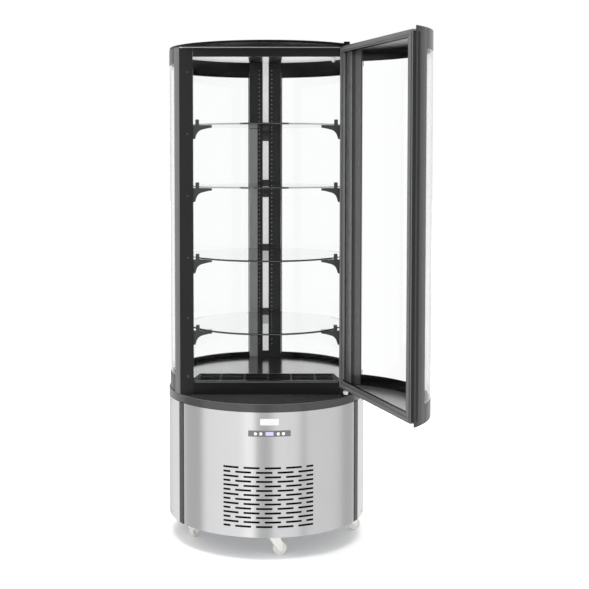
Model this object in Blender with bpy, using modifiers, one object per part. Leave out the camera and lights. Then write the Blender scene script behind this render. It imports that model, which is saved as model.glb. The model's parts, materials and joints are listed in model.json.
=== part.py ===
"""A round refrigerated display case with its door open, as separate pieces.

The case stands on a drum that holds the compressor and the condenser. Above it, a glazed
cylinder with a flat front opening holds four glass shelves. The door is a bulging segment on a
vertical pivot, and completes the cylinder when it is shut. Lengths are in metres, +Z is up, the
front is toward -Y, and the origin lies under the middle of the object's box.
"""

import math

import bmesh
import bpy
from mathutils import Matrix, Vector

# Shared values
GAP = 0.0003
OVERRUN = 0.004
MERGE = 0.00001
FACET = math.radians(6.0)
FULL_TURN = 2.0 * math.pi
WHOLE_STEPS = round(FULL_TURN / FACET)
SMALL_STEPS = 24

# Base drum
BASE_RADIUS = 0.340
PANEL_BOTTOM = 0.075
PANEL_HEIGHT = 0.410
PANEL_SHEET = 0.0012
DECK_THICKNESS = 0.026
DECK_LIP_DEPTH = 0.015
DECK_LIP_THICKNESS = 0.005
PAN_FLOOR = 0.003
PAN_FLANGE_HEIGHT = 0.020
PAN_FLANGE_THICKNESS = 0.002
TRIM_LEFT_ANGLE = math.radians(-57.0)
TRIM_RIGHT_ANGLE = math.radians(62.7)
TRIM_WIDTH = 0.027
TRIM_PROUD = 0.0015
TRIM_STEM_WIDTH = 0.008
TRIM_STEM_DEPTH = 0.008
PANEL_TOP = PANEL_BOTTOM + PANEL_HEIGHT
DECK_TOP = PANEL_TOP + DECK_THICKNESS
PAN_TOP = PANEL_BOTTOM + PAN_FLOOR
PAN_RADIUS = BASE_RADIUS - PANEL_SHEET - GAP

# Vent slots in the front panel
SLOT_TOP_DROP = 0.182
SLOT_FOOT = 0.035
SLOT_ROW_SPACING = 0.0148
SLOT_HEIGHT = 0.0065
SLOT_LENGTH = 0.053
SLOT_BRIDGE = 0.0164
SLOT_FIELD_ANGLE = math.radians(25.5)
SLOT_MIDDLE_ANGLE = math.radians(1.1)
SLOT_TOP_ROW = PANEL_TOP - SLOT_TOP_DROP
SLOT_ROWS = 1 + math.floor((SLOT_TOP_ROW - PANEL_BOTTOM - SLOT_FOOT) / SLOT_ROW_SPACING)

# Control strip, its display and buttons, and the badge plate
STRIP_ANGLE = math.radians(1.6)
STRIP_LENGTH = 0.138
STRIP_HEIGHT = 0.019
STRIP_DROP = 0.069
STRIP_PROUD = 0.0018
STRIP_LEDGE = 0.003
STRIP_DEPTH = 0.012
BUTTON_INNER_OFFSET = 0.028
BUTTON_OUTER_OFFSET = 0.045
BUTTON_RADIUS = 0.0055
BUTTON_PROUD = 0.0016
BUTTON_SOCKET_DEPTH = 0.009
BUTTON_TRAVEL = 0.0008
DISPLAY_LENGTH = 0.025
DISPLAY_HEIGHT = 0.011
DISPLAY_DEPTH = 0.003
BADGE_LENGTH = 0.061
BADGE_HEIGHT = 0.021
BADGE_DROP = 0.031
BADGE_THICKNESS = 0.0012
STRIP_MIDDLE = PANEL_TOP - STRIP_DROP
BADGE_MIDDLE = PANEL_TOP - BADGE_DROP
BUTTON_OFFSETS = (
    -BUTTON_OUTER_OFFSET,
    -BUTTON_INNER_OFFSET,
    BUTTON_INNER_OFFSET,
    BUTTON_OUTER_OFFSET,
)

# Upper case: door plane and posts
DOOR_BULGE = 0.160
POST_FACE_WIDTH = 0.044
POST_SIDE_LENGTH = 0.042
POST_REBATE = 0.003
POST_LIP = 0.0035
POST_WALL = 0.0025
DOOR_PLANE_Y = DOOR_BULGE - BASE_RADIUS
DOOR_HALF_OPENING = math.sqrt(BASE_RADIUS**2 - DOOR_PLANE_Y**2)
POST_FRONT_ANGLE = math.atan2(DOOR_HALF_OPENING, -DOOR_PLANE_Y)
POST_SIDE_ANGLE = POST_FRONT_ANGLE + POST_SIDE_LENGTH / BASE_RADIUS
POST_FACE_INNER_X = DOOR_HALF_OPENING - POST_FACE_WIDTH

# Curved bands that hold the panes, the cap and the ceiling
CASE_HEIGHT = 1.159
BAND_SETBACK = 0.0045
BAND_LIP = 0.0017
BAND_DEPTH = 0.023
BAND_INNER_WALL = 0.0043
BAND_FOOT_DEPTH = 0.0035
BOTTOM_BAND_HEIGHT = 0.052
BOTTOM_RING_HEIGHT = 0.0625
BOTTOM_GROOVE_RISE = 0.024
FLANGE_DEPTH = 0.0445
FLANGE_THICKNESS = 0.004
TOP_BAND_DROP = 0.050
TOP_RING_DROP = 0.070
TOP_GROOVE_DROP = 0.020
CAP_SETBACK = 0.0015
CAP_THICKNESS = 0.008
CEILING_DROP = 0.0135
CEILING_THICKNESS = 0.003
CEILING_LEDGE = 0.0025
CEILING_CLEARANCE = 0.001
CEILING_INTAKE_WIDTH = 0.080
CEILING_INTAKE_DEPTH = 0.010
CAP_BOTTOM = DECK_TOP + CASE_HEIGHT
CAP_TOP = CAP_BOTTOM + CAP_THICKNESS
CASE_BOTTOM = DECK_TOP + GAP
CASE_TOP = CAP_BOTTOM - GAP
BAND_RADIUS = BASE_RADIUS - BAND_SETBACK
BAND_INNER_RADIUS = BAND_RADIUS - BAND_DEPTH
BAND_FOOT_RADIUS = BAND_INNER_RADIUS - BAND_FOOT_DEPTH
BAND_GROOVE_RADIUS = BAND_INNER_RADIUS + BAND_INNER_WALL
FLANGE_RADIUS = BAND_INNER_RADIUS - FLANGE_DEPTH
CAP_RADIUS = BAND_RADIUS - CAP_SETBACK
BOTTOM_BAND_TOP = DECK_TOP + BOTTOM_BAND_HEIGHT
BOTTOM_RING_TOP = DECK_TOP + BOTTOM_RING_HEIGHT
BOTTOM_GROOVE_FLOOR = DECK_TOP + BOTTOM_GROOVE_RISE
TOP_BAND_BOTTOM = CAP_BOTTOM - TOP_BAND_DROP
TOP_RING_BOTTOM = CAP_BOTTOM - TOP_RING_DROP
TOP_GROOVE_ROOF = CAP_BOTTOM - TOP_GROOVE_DROP
CEILING_BOTTOM = CAP_BOTTOM - CEILING_DROP
POST_BACK_Y = -BAND_GROOVE_RADIUS * math.cos(POST_SIDE_ANGLE)
CEILING_FRONT_Y = POST_BACK_Y + 2.0 * GAP

# Header and sill
HEADER_HEIGHT = 0.032
HEADER_DEPTH = 0.020
SILL_HEIGHT = 0.046
SILL_DEPTH = 0.0078
SECTION_WALL = 0.003
HEADER_BOTTOM = CAP_BOTTOM - HEADER_HEIGHT
SILL_TOP = DECK_TOP + SILL_HEIGHT

# Curved double panes of the case
PANE_THICKNESS = 0.004
PANE_SPACER = 0.010
GLASS_OUTER_RADIUS = BAND_RADIUS - BAND_LIP - GAP
GLASS_INNER_RADIUS = BAND_GROOVE_RADIUS + GAP

# Cooling machinery in the drum
COMPRESSOR_RADIUS = 0.078
COMPRESSOR_HEIGHT = 0.165
COMPRESSOR_FOOT_RADIUS = 0.090
COMPRESSOR_FOOT_HEIGHT = 0.006
COMPRESSOR_X = -0.075
COMPRESSOR_Y = 0.120
CONDENSER_WIDTH = 0.280
CONDENSER_DEPTH = 0.048
CONDENSER_HEIGHT = 0.200
CONDENSER_SETBACK = 0.090
CONDENSER_SPINE = 0.006
CONDENSER_FINS = 20
FIN_THICKNESS = 0.0015
CONDENSER_FAN_RADIUS = 0.076
SHROUD_CLEARANCE = 0.006
SHROUD_THICKNESS = 0.012
SHROUD_HUB_RADIUS = 0.022
SHROUD_ARM_WIDTH = 0.012
SHROUD_MOTOR_LENGTH = 0.045
FAN_HUB_RADIUS = 0.018
FAN_HUB_LENGTH = 0.014
FAN_BLADES = 5
FAN_BLADE_THICKNESS = 0.002
FAN_BLADE_WIDTH_SHARE = 0.55
FAN_BLADE_PITCH = math.radians(25.0)
CONDENSER_FRONT_Y = CONDENSER_SETBACK - BASE_RADIUS
SHROUD_HOLE_RADIUS = CONDENSER_FAN_RADIUS + SHROUD_CLEARANCE

# Insulated well in the deck, with the evaporator
WELL_POST_CLEARANCE = 0.002
WELL_WALL = 0.025
WELL_DEPTH = 0.176
WELL_RISE = 0.0393
WELL_SPOUT_WIDTH = 0.090
WELL_SPOUT_HEIGHT = 0.022
WELL_SPOUT_COVER = 0.006
WELL_SPOUT_WALL = 0.004
COIL_SIDE_CLEARANCE = 0.0142
COIL_DEPTH = 0.090
COIL_HEIGHT = 0.120
COIL_Y = 0.095
COIL_FINS = 16
COIL_SPINE = 0.010
FAN_PLATE_Y = 0.010
FAN_PLATE_WIDTH = 0.300
FAN_PLATE_HEIGHT = 0.140
FAN_PLATE_THICKNESS = 0.006
EVAPORATOR_FAN_RADIUS = 0.047
EVAPORATOR_FAN_CLEARANCE = 0.005
EVAPORATOR_MOTOR_LENGTH = 0.030
WELL_FRONT_Y = DOOR_PLANE_Y + POST_LIP
WELL_RADIUS = (
    math.hypot(POST_FACE_INNER_X + POST_REBATE, POST_BACK_Y) - WELL_POST_CLEARANCE
)
WELL_BOTTOM = DECK_TOP - WELL_DEPTH
WELL_FLOOR = WELL_BOTTOM + WELL_WALL
WELL_TOP = DECK_TOP + WELL_RISE
FLANGE_TOP = WELL_TOP + GAP + FLANGE_THICKNESS
FAN_PLATE_HOLE_RADIUS = EVAPORATOR_FAN_RADIUS + EVAPORATOR_FAN_CLEARANCE
COIL_HALF_WIDTH = (
    math.sqrt((WELL_RADIUS - WELL_WALL) ** 2 - (COIL_Y + COIL_DEPTH) ** 2) - COIL_SIDE_CLEARANCE
)

# Casters
CASTER_INSET = 0.055
CASTER_TRAIL = 0.024
CASTERS = (
    ("front", -86.0, 15.0),
    ("right", -6.0, 20.0),
    ("rear_right", 60.0, 128.0),
    ("rear_left", 132.0, -34.0),
    ("left", 204.0, 48.0),
)
CASTER_PLATE_RADIUS = 0.024
CASTER_PLATE_THICKNESS = 0.003
WHEEL_RADIUS = 0.0225
WHEEL_WIDTH = 0.0175
WHEEL_CHAMFER = 0.003
WHEEL_CLEARANCE = 0.002
WHEEL_SIDE_CLEARANCE = 0.0006
AXLE_RADIUS = 0.003
FORK_CHEEK = 0.00415
FORK_REAR = 0.012
FORK_CROWN = 0.014
FORK_TOE = 0.0075
FORK_TOE_RISE = 0.0175
FORK_TOE_DROP = 0.0065
FORK_HEEL_DROP = 0.0117
FORK_HEEL_HEIGHT = 0.015
CASTER_RING_RADIUS = BASE_RADIUS - CASTER_INSET
FORK_SLOT_WIDTH = WHEEL_WIDTH + 2.0 * WHEEL_SIDE_CLEARANCE
FORK_WIDTH = FORK_SLOT_WIDTH + 2.0 * FORK_CHEEK

# Rear column, light strip and bracket rails
COLUMN_LEFT_X = -0.0638
COLUMN_RIGHT_X = 0.0541
COLUMN_DEPTH = 0.0355
COLUMN_WALL = 0.0025
COLUMN_INLET_RISE = 0.009
RAIL_X = -0.0035
RAIL_WIDTH = 0.022
RAIL_THICKNESS = 0.0024
REAR_RAIL_FOOT = 0.069
REAR_RAIL_DROP = 0.0025
SIDE_RAIL_FOOT = 0.089
SIDE_RAIL_SETBACK = 0.016
LIGHT_INNER_HALF = 0.0155
LIGHT_OUTER_HALF = 0.0255
LIGHT_THICKNESS = 0.002
LIGHT_DROP = 0.0065
LIGHT_BRIDGE = 0.012
COLUMN_FRONT_Y = BAND_RADIUS - COLUMN_DEPTH
SIDE_RAIL_Y = DOOR_PLANE_Y + SIDE_RAIL_SETBACK
SIDE_RAIL_BOTTOM = DECK_TOP + SIDE_RAIL_FOOT
REAR_RAIL_BOTTOM = DECK_TOP + REAR_RAIL_FOOT
REAR_RAIL_TOP = CEILING_BOTTOM - REAR_RAIL_DROP
LIGHT_TOP = CEILING_BOTTOM - LIGHT_DROP

# Shelves and the brackets that carry them
SHELF_REAR_GAP = 0.0287
SHELF_THICKNESS = 0.006
SHELF_HEIGHT_SHARES = (0.1864, 0.3934, 0.5997, 0.7800)
ARM_LENGTH = 0.062
ARM_TIP = 0.008
ARM_ROOT = 0.046
TAB_START = 0.008
TAB_LENGTH = 0.0116
TAB_HEIGHT = 0.019
GUSSET_SHARES = ((0.10, 1.0), (0.18, 0.66), (0.32, 0.42), (0.62, 0.27))
SHELF_RADIUS = COLUMN_FRONT_Y - SHELF_REAR_GAP
SHELF_MIDDLES = [DECK_TOP + share * CASE_HEIGHT for share in SHELF_HEIGHT_SHARES]

# Floor of the cold space: steel plate and return-air grille
PLATE_SIDE_INSET = 0.0375
PLATE_REAR_GAP = 0.0005
PLATE_THICKNESS = 0.0017
GRILLE_SILL_DROP = 0.001
GRILLE_POST_GAP = 0.001
GRILLE_TAPER = 0.0125
GRILLE_SHOULDER_DEPTH = 0.056
GRILLE_DEPTH = 0.1345
GRILLE_RIB_X = 0.0045
GRILLE_BAY_PITCH = 0.080
GRILLE_BAY_SLOT = 0.073
GRILLE_BAYS = 6
GRILLE_ROWS = 5
GRILLE_ROW_PITCH = 0.024
GRILLE_ROW_SLOT = 0.015
GRILLE_EDGE = 0.006
PLATE_HALF_WIDTH = BAND_INNER_RADIUS - PLATE_SIDE_INSET
PLATE_REAR_Y = BAND_INNER_RADIUS - PLATE_REAR_GAP
FLOOR_BOTTOM = FLANGE_TOP + GAP
GRILLE_BOTTOM = WELL_TOP + GAP
GRILLE_TOP = SILL_TOP - GRILLE_SILL_DROP
GRILLE_FRONT_HALF = POST_FACE_INNER_X - GRILLE_POST_GAP
GRILLE_REAR_HALF = GRILLE_FRONT_HALF - GRILLE_TAPER
GRILLE_SHOULDER_Y = DOOR_PLANE_Y + GRILLE_SHOULDER_DEPTH
GRILLE_REAR_Y = DOOR_PLANE_Y + GRILLE_DEPTH

# Door, given where it stands when shut
DOOR_OPEN = math.radians(107.6)
PIVOT_INSET = 0.025
PIVOT_PROUD = 0.023
GASKET_THICKNESS = 0.0034
GASKET_WIDTH = 0.009
GASKET_EDGE = 0.0055
GASKET_PIVOT_GAP = 0.001
RING_DEPTH = 0.012
RING_MEMBER = 0.030
RING_HINGE_INSET = 0.013
RING_LIFT = 0.028
RING_DROP = 0.001
RING_SILL = 0.0265
RING_HEAD = 0.020
SHELL_PROUD = 0.010
SHELL_THICKNESS = 0.004
SHELL_LIFT = 0.016
SHELL_RISE = 0.010
STILE_FACE_WIDTH = 0.0635
STILE_FOLD_DEPTH = 0.0072
STILE_RING_GAP = 0.0005
STILE_HINGE_INSET = 0.0045
STILE_NOTCH_RADIUS = 0.024
STILE_NOTCH_DROP = 0.003
RAIL_BAND_THICKNESS = 0.006
SOFFIT_DROP = 0.003
SOFFIT_THICKNESS = 0.010
DOOR_FLOOR_RISE = 0.002
DOOR_FLOOR_THICKNESS = 0.008
DOOR_BOTTOM_BAND_HEIGHT = 0.058
DOOR_GLASS_INSET = 0.0005
PIVOT_X = DOOR_HALF_OPENING - PIVOT_INSET
PIVOT_Y = DOOR_PLANE_Y - PIVOT_PROUD
GASKET_HINGE_X = PIVOT_X - GASKET_PIVOT_GAP
RING_FACE_Y = DOOR_PLANE_Y - GASKET_THICKNESS - 2.0 * GAP
RING_FRONT_Y = RING_FACE_Y - RING_DEPTH
RING_LEFT_X = -DOOR_HALF_OPENING
RING_RIGHT_X = DOOR_HALF_OPENING - RING_HINGE_INSET
RING_BOTTOM = DECK_TOP + RING_LIFT
RING_TOP = CAP_BOTTOM - RING_DROP
SHELL_OUTER_RADIUS = BASE_RADIUS + SHELL_PROUD
SHELL_INNER_RADIUS = SHELL_OUTER_RADIUS - SHELL_THICKNESS
SHELL_BOTTOM = DECK_TOP + SHELL_LIFT
SHELL_TOP = CAP_BOTTOM + SHELL_RISE
STILE_END_Y = RING_FRONT_Y - STILE_RING_GAP
STILE_END_ANGLE = math.acos((STILE_FOLD_DEPTH - STILE_END_Y) / SHELL_OUTER_RADIUS)
STILE_ANGLE = STILE_END_ANGLE - STILE_FACE_WIDTH / SHELL_OUTER_RADIUS
STILE_FREE_END_X = RING_LEFT_X
STILE_HINGE_END_X = DOOR_HALF_OPENING - STILE_HINGE_INSET
STILE_NOTCH_BOTTOM = CAP_BOTTOM - STILE_NOTCH_DROP
SOFFIT_TOP = RING_TOP - SOFFIT_DROP
SOFFIT_BOTTOM = SOFFIT_TOP - SOFFIT_THICKNESS
DOOR_FLOOR_BOTTOM = RING_BOTTOM + DOOR_FLOOR_RISE
DOOR_FLOOR_TOP = DOOR_FLOOR_BOTTOM + DOOR_FLOOR_THICKNESS
BOTTOM_BAND_OF_DOOR_TOP = SHELL_BOTTOM + DOOR_BOTTOM_BAND_HEIGHT

# Door pivots
PIVOT_PIN_RADIUS = 0.004
PIVOT_BUSH_RADIUS = 0.009
PIVOT_STEP_RADIUS = 0.0062
PIVOT_PIN_REACH = 0.011
CAP_EAR_RADIUS = 0.0105
CAP_BOSS_HEIGHT = 0.006
CAP_PIN_REACH = 0.006
PIVOT_PIN_TOP = DOOR_FLOOR_TOP + PIVOT_PIN_REACH
CAP_PIN_BOTTOM = SOFFIT_BOTTOM - CAP_PIN_REACH

# Materials: base colour, metallic and roughness
STEEL = ((0.74, 0.74, 0.75), 1.0, 0.32)
BLACK = ((0.030, 0.030, 0.032), 0.0, 0.30)
GREY = ((0.16, 0.16, 0.17), 0.6, 0.40)
GLASS = ((0.90, 0.93, 0.93), 0.0, 0.05)
WHITE = ((0.82, 0.82, 0.82), 0.0, 0.45)
IVORY = ((0.72, 0.67, 0.56), 0.0, 0.50)
SEAL = ((0.02, 0.02, 0.02), 0.0, 0.80)
ZINC = ((0.55, 0.56, 0.58), 1.0, 0.45)
COPPER = ((0.70, 0.38, 0.22), 1.0, 0.35)
DISPLAY = ((0.45, 0.40, 0.75), 0.0, 0.20)
FOAM = ((0.60, 0.62, 0.64), 0.0, 0.60)


def turned_about_pivot(x, y, angle):
    """The place of a point of the shut door after the door has turned."""
    turned = Matrix.Rotation(angle, 2) @ Vector((x - PIVOT_X, y - PIVOT_Y))
    return turned.x + PIVOT_X, turned.y + PIVOT_Y


DOOR_MIDDLE_X = turned_about_pivot(0.0, 0.0, DOOR_OPEN)[0]
DOOR_END_Y = turned_about_pivot(RING_LEFT_X, RING_FACE_Y, DOOR_OPEN)[1]
AXIS_X = (BASE_RADIUS - DOOR_MIDDLE_X - SHELL_OUTER_RADIUS) / 2.0
AXIS_Y = -(BASE_RADIUS + DOOR_END_Y) / 2.0


def clear_scene():
    """Remove whatever objects the scene holds."""
    for old in list(bpy.data.objects):
        bpy.data.objects.remove(old, do_unlink=True)


def new_collection(name):
    made = bpy.data.collections.new(name)
    bpy.context.scene.collection.children.link(made)
    return made


clear_scene()
PARTS = new_collection("refrigerated_display_case")
CUTTERS = new_collection("cutters")


def empty(name, location, parent=None, turn=0.0):
    """An axis or a place that other objects hang from."""
    made = bpy.data.objects.new(name, None)
    made.empty_display_size = WHEEL_RADIUS
    made.location = location
    made.rotation_euler = (0.0, 0.0, turn)
    made.parent = parent
    PARTS.objects.link(made)
    return made


def finish(thing, name, look, parent):
    """Name a piece, give it its material and hang it on its parent."""
    colour, metallic, roughness = look
    material = bpy.data.materials.new(name)
    material.use_nodes = True
    shader = material.node_tree.nodes["Principled BSDF"]
    shader.inputs["Base Color"].default_value = (*colour, 1.0)
    shader.inputs["Metallic"].default_value = metallic
    shader.inputs["Roughness"].default_value = roughness
    thing.name = name
    thing.data.name = name
    thing.data.materials.clear()
    thing.data.materials.append(material)
    thing.parent = parent
    return thing


def as_cutter(thing):
    """Put an object among the cutters, out of the render."""
    thing.hide_render = True
    thing.display_type = "WIRE"
    PARTS.objects.unlink(thing)
    CUTTERS.objects.link(thing)
    return thing


def combine(body, other, operation):
    """Cut the other object from the body, or join the two."""
    modifier = body.modifiers.new(other.name, "BOOLEAN")
    modifier.operation = operation
    modifier.solver = "EXACT"
    modifier.object = as_cutter(other)
    return body


def cut(body, *others):
    for other in others:
        combine(body, other, "DIFFERENCE")
    return body


def join(body, *others):
    for other in others:
        combine(body, other, "UNION")
    return body


def facet_point(radius, angle):
    """A point at an angle from the front, on the flats of a circle of whole facets."""
    past_middle = (angle % FACET) - FACET / 2.0
    reach = radius * math.cos(FACET / 2.0) / math.cos(past_middle)
    return reach * math.sin(angle), -reach * math.cos(angle)


def arc(radius, start, end):
    """Points along a circle about the axis, from one angle from the front to another."""
    low, high = min(start, end), max(start, end)
    first = math.floor(low / FACET + MERGE) + 1
    last = math.ceil(high / FACET - MERGE) - 1
    angles = [low, *(step * FACET for step in range(first, last + 1)), high]
    if start > end:
        angles.reverse()
    return [facet_point(radius, angle) for angle in angles]


def circle(radius):
    """A whole circle about the axis."""
    return [facet_point(radius, step * FACET) for step in range(WHOLE_STEPS)]


def arc_band(outer, inner, start, end):
    """The outline of a curved wall between two angles."""
    return arc(outer, start, end) + arc(inner, end, start)


def behind_chord(radius, chord_y):
    """The outline of a circle without what lies before a chord that faces the front."""
    half = math.acos(-chord_y / radius)
    return arc(radius, half, FULL_TURN - half)


def rectangle(x0, y0, x1, y1):
    return [(x0, y0), (x1, y0), (x1, y1), (x0, y1)]


def plate(loops, low, high, facing="up"):
    """A flat outline, with any holes, made thick between two levels.

    facing "up" lays it flat, "front" stands it in the XZ plane and "side" in the YZ plane; the
    two levels are then along Z, Y or X.
    """
    curve = bpy.data.curves.new("outline", "CURVE")
    curve.dimensions = "2D"
    curve.fill_mode = "BOTH"
    curve.extrude = (high - low) / 2.0
    for loop in loops:
        spline = curve.splines.new("POLY")
        spline.points.add(len(loop) - 1)
        spline.use_cyclic_u = True
        for point, (x, y) in zip(spline.points, loop):
            point.co = (x, y, 0.0, 1.0)
    made = bpy.data.objects.new("outline", curve)
    PARTS.objects.link(made)
    middle = (low + high) / 2.0
    quarter = FULL_TURN / 4.0
    if facing == "up":
        made.location = (0.0, 0.0, middle)
    elif facing == "front":
        made.location = (0.0, middle, 0.0)
        made.rotation_euler = (quarter, 0.0, 0.0)
    else:
        made.location = (middle, 0.0, 0.0)
        made.rotation_euler = (quarter, 0.0, quarter)
    return made


def solid(thing):
    """The mesh of an outline, closed, so that it can be cut, joined or used as a cutter."""
    bpy.context.view_layer.update()
    graph = bpy.context.evaluated_depsgraph_get()
    mesh = bpy.data.meshes.new_from_object(thing.evaluated_get(graph))
    work = bmesh.new()
    work.from_mesh(mesh)
    bmesh.ops.remove_doubles(work, verts=work.verts, dist=MERGE)
    bmesh.ops.recalc_face_normals(work, faces=work.faces)
    work.to_mesh(mesh)
    work.free()
    made = bpy.data.objects.new(thing.name, mesh)
    made.matrix_world = thing.matrix_world
    PARTS.objects.link(made)
    bpy.data.objects.remove(thing, do_unlink=True)
    return made


def solid_plate(loops, low, high, facing="up"):
    return solid(plate(loops, low, high, facing))


def box(x0, x1, y0, y1, z0, z1):
    """A block between two corners, modelled where it stands."""
    work = bmesh.new()
    size = Matrix.Diagonal((x1 - x0, y1 - y0, z1 - z0, 1.0))
    middle = Matrix.Translation(((x0 + x1) / 2.0, (y0 + y1) / 2.0, (z0 + z1) / 2.0))
    bmesh.ops.create_cube(work, size=1.0, matrix=middle @ size)
    return mesh_object(work)


def cylinder(radius, length, matrix, steps=SMALL_STEPS):
    """A cylinder about the Z axis of the matrix, centred on its origin."""
    work = bmesh.new()
    bmesh.ops.create_cone(
        work,
        cap_ends=True,
        segments=steps,
        radius1=radius,
        radius2=radius,
        depth=length,
        matrix=matrix,
    )
    return mesh_object(work)


def upright(x, y, low, high, radius, steps=SMALL_STEPS):
    """A vertical cylinder between two levels."""
    return cylinder(radius, high - low, Matrix.Translation((x, y, (low + high) / 2.0)), steps)


def mesh_object(work):
    """A new object from a bmesh."""
    mesh = bpy.data.meshes.new("mesh")
    work.to_mesh(mesh)
    work.free()
    made = bpy.data.objects.new("mesh", mesh)
    PARTS.objects.link(made)
    return made


def turned(profile, steps=WHOLE_STEPS, closed=True):
    """A profile of radius and height, turned once about Z."""
    work = bmesh.new()
    points = [work.verts.new((radius, 0.0, height)) for radius, height in profile]
    for first, second in zip(points, points[1:]):
        work.edges.new((first, second))
    if closed:
        work.edges.new((points[-1], points[0]))
    made = mesh_object(work)
    screw = made.modifiers.new("turn", "SCREW")
    screw.axis = "Z"
    screw.angle = FULL_TURN
    screw.steps = steps
    screw.render_steps = steps
    screw.use_merge_vertices = True
    screw.merge_threshold = MERGE
    return made


def moved(thing, x=0.0, y=0.0, z=0.0):
    """Shift an object from where it was modelled."""
    thing.location = thing.location + Vector((x, y, z))
    return thing


def base_pan(axis):
    flange_radius = PAN_RADIUS - PAN_FLANGE_THICKNESS
    rim = PAN_TOP + PAN_FLANGE_HEIGHT
    profile = (
        (0.0, PAN_TOP),
        (flange_radius, PAN_TOP),
        (flange_radius, rim),
        (PAN_RADIUS, rim),
        (PAN_RADIUS, PANEL_BOTTOM),
        (0.0, PANEL_BOTTOM),
    )
    finish(turned(profile, closed=False), "base_pan", ZINC, axis)


def panel_setback():
    """The angle from the middle of a trim to the edge of the panel beside its stem."""
    return (TRIM_STEM_WIDTH / 2.0 + GAP) / BASE_RADIUS


def slot_row(starts_full):
    """The outlines of one row of vent slots, which starts with a full or with a short slot."""
    length = SLOT_LENGTH / BASE_RADIUS
    bridge = SLOT_BRIDGE / BASE_RADIUS
    spans = []
    start = -SLOT_FIELD_ANGLE
    while start < SLOT_FIELD_ANGLE:
        spans.append((start, min(start + length, SLOT_FIELD_ANGLE)))
        start += length + bridge
    if not starts_full:
        spans = [(-end, -begin) for begin, end in spans]
    spans = [(SLOT_MIDDLE_ANGLE + begin, SLOT_MIDDLE_ANGLE + end) for begin, end in spans]
    reach = BASE_RADIUS + OVERRUN
    root = BASE_RADIUS - PANEL_SHEET - OVERRUN
    corners = ((reach, 0), (reach, 1), (root, 1), (root, 0))
    return [
        [(radius * math.sin(span[end]), -radius * math.cos(span[end])) for radius, end in corners]
        for span in spans
    ]


def slot_cutter(starts_full, top_row):
    """Every second row of slots, from a given row down."""
    middle = SLOT_TOP_ROW - top_row * SLOT_ROW_SPACING
    half = SLOT_HEIGHT / 2.0
    made = solid_plate(slot_row(starts_full), middle - half, middle + half)
    rows = made.modifiers.new("rows", "ARRAY")
    rows.count = (SLOT_ROWS - top_row + 1) // 2
    rows.use_relative_offset = False
    rows.use_constant_offset = True
    rows.constant_offset_displace = (0.0, 0.0, -2.0 * SLOT_ROW_SPACING)
    return made


def strip_span(length, extra=0.0):
    """The angles that a length on the drum takes, about the middle of the control strip."""
    half = (length / 2.0 + extra) / BASE_RADIUS
    return STRIP_ANGLE - half, STRIP_ANGLE + half


def front_panel(axis):
    left = TRIM_LEFT_ANGLE + panel_setback()
    right = TRIM_RIGHT_ANGLE - panel_setback()
    wall = arc_band(BASE_RADIUS, BASE_RADIUS - PANEL_SHEET, left, right)
    panel = solid_plate([wall], PANEL_BOTTOM, PANEL_TOP - GAP)
    start, end = strip_span(STRIP_LENGTH - 2.0 * STRIP_LEDGE, 2.0 * GAP)
    opening = arc_band(BASE_RADIUS + OVERRUN, BASE_RADIUS - OVERRUN, start, end)
    half = STRIP_HEIGHT / 2.0 - STRIP_LEDGE + 2.0 * GAP
    window = solid_plate([opening], STRIP_MIDDLE - half, STRIP_MIDDLE + half)
    cut(panel, slot_cutter(True, 0), slot_cutter(False, 1), window)
    finish(panel, "front_panel", STEEL, axis)


def rear_panel(axis):
    right = TRIM_RIGHT_ANGLE + panel_setback()
    left = TRIM_LEFT_ANGLE - panel_setback() + FULL_TURN
    wall = arc_band(BASE_RADIUS, BASE_RADIUS - PANEL_SHEET, right, left)
    finish(plate([wall], PANEL_BOTTOM, PANEL_TOP - GAP), "rear_panel", STEEL, axis)


def trims(axis):
    """The two black strips that cover the joints between the panels."""
    cover_half = TRIM_WIDTH / 2.0 / BASE_RADIUS
    stem_half = TRIM_STEM_WIDTH / 2.0 / BASE_RADIUS
    front = BASE_RADIUS + GAP + TRIM_PROUD
    back = BASE_RADIUS + GAP
    root = BASE_RADIUS - TRIM_STEM_DEPTH
    pan_clearance = PAN_TOP + PAN_FLANGE_HEIGHT + GAP
    deck_clearance = PANEL_TOP - DECK_LIP_DEPTH - GAP
    for name, middle in (("trim_left", TRIM_LEFT_ANGLE), ("trim_right", TRIM_RIGHT_ANGLE)):
        cover = arc_band(front, back, middle - cover_half, middle + cover_half)
        stem = arc_band(front - TRIM_PROUD / 2.0, root, middle - stem_half, middle + stem_half)
        tee = solid_plate([cover], PANEL_BOTTOM, PANEL_TOP - GAP)
        join(tee, solid_plate([stem], pan_clearance, deck_clearance))
        finish(tee, name, BLACK, axis)


def deck(axis):
    """The slab on top of the drum, with a lip inside the panels and a hole for the well."""
    hole = behind_chord(WELL_RADIUS + GAP, WELL_FRONT_Y - GAP)
    slab = solid_plate([circle(BASE_RADIUS), hole], PANEL_TOP, DECK_TOP)
    lip = [circle(PAN_RADIUS), circle(PAN_RADIUS - DECK_LIP_THICKNESS)]
    join(slab, solid_plate(lip, PANEL_TOP - DECK_LIP_DEPTH, PANEL_TOP + GAP))
    finish(slab, "deck", BLACK, axis)


def radial_matrix(angle, radius, height):
    """A frame on the drum whose Z axis points outward."""
    outward = Vector((math.sin(angle), -math.cos(angle), 0.0))
    turn = outward.to_track_quat("Z", "Y").to_matrix().to_4x4()
    return Matrix.Translation(outward * radius + Vector((0.0, 0.0, height))) @ turn


def button_angles():
    return [STRIP_ANGLE + offset / BASE_RADIUS for offset in BUTTON_OFFSETS]


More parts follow.
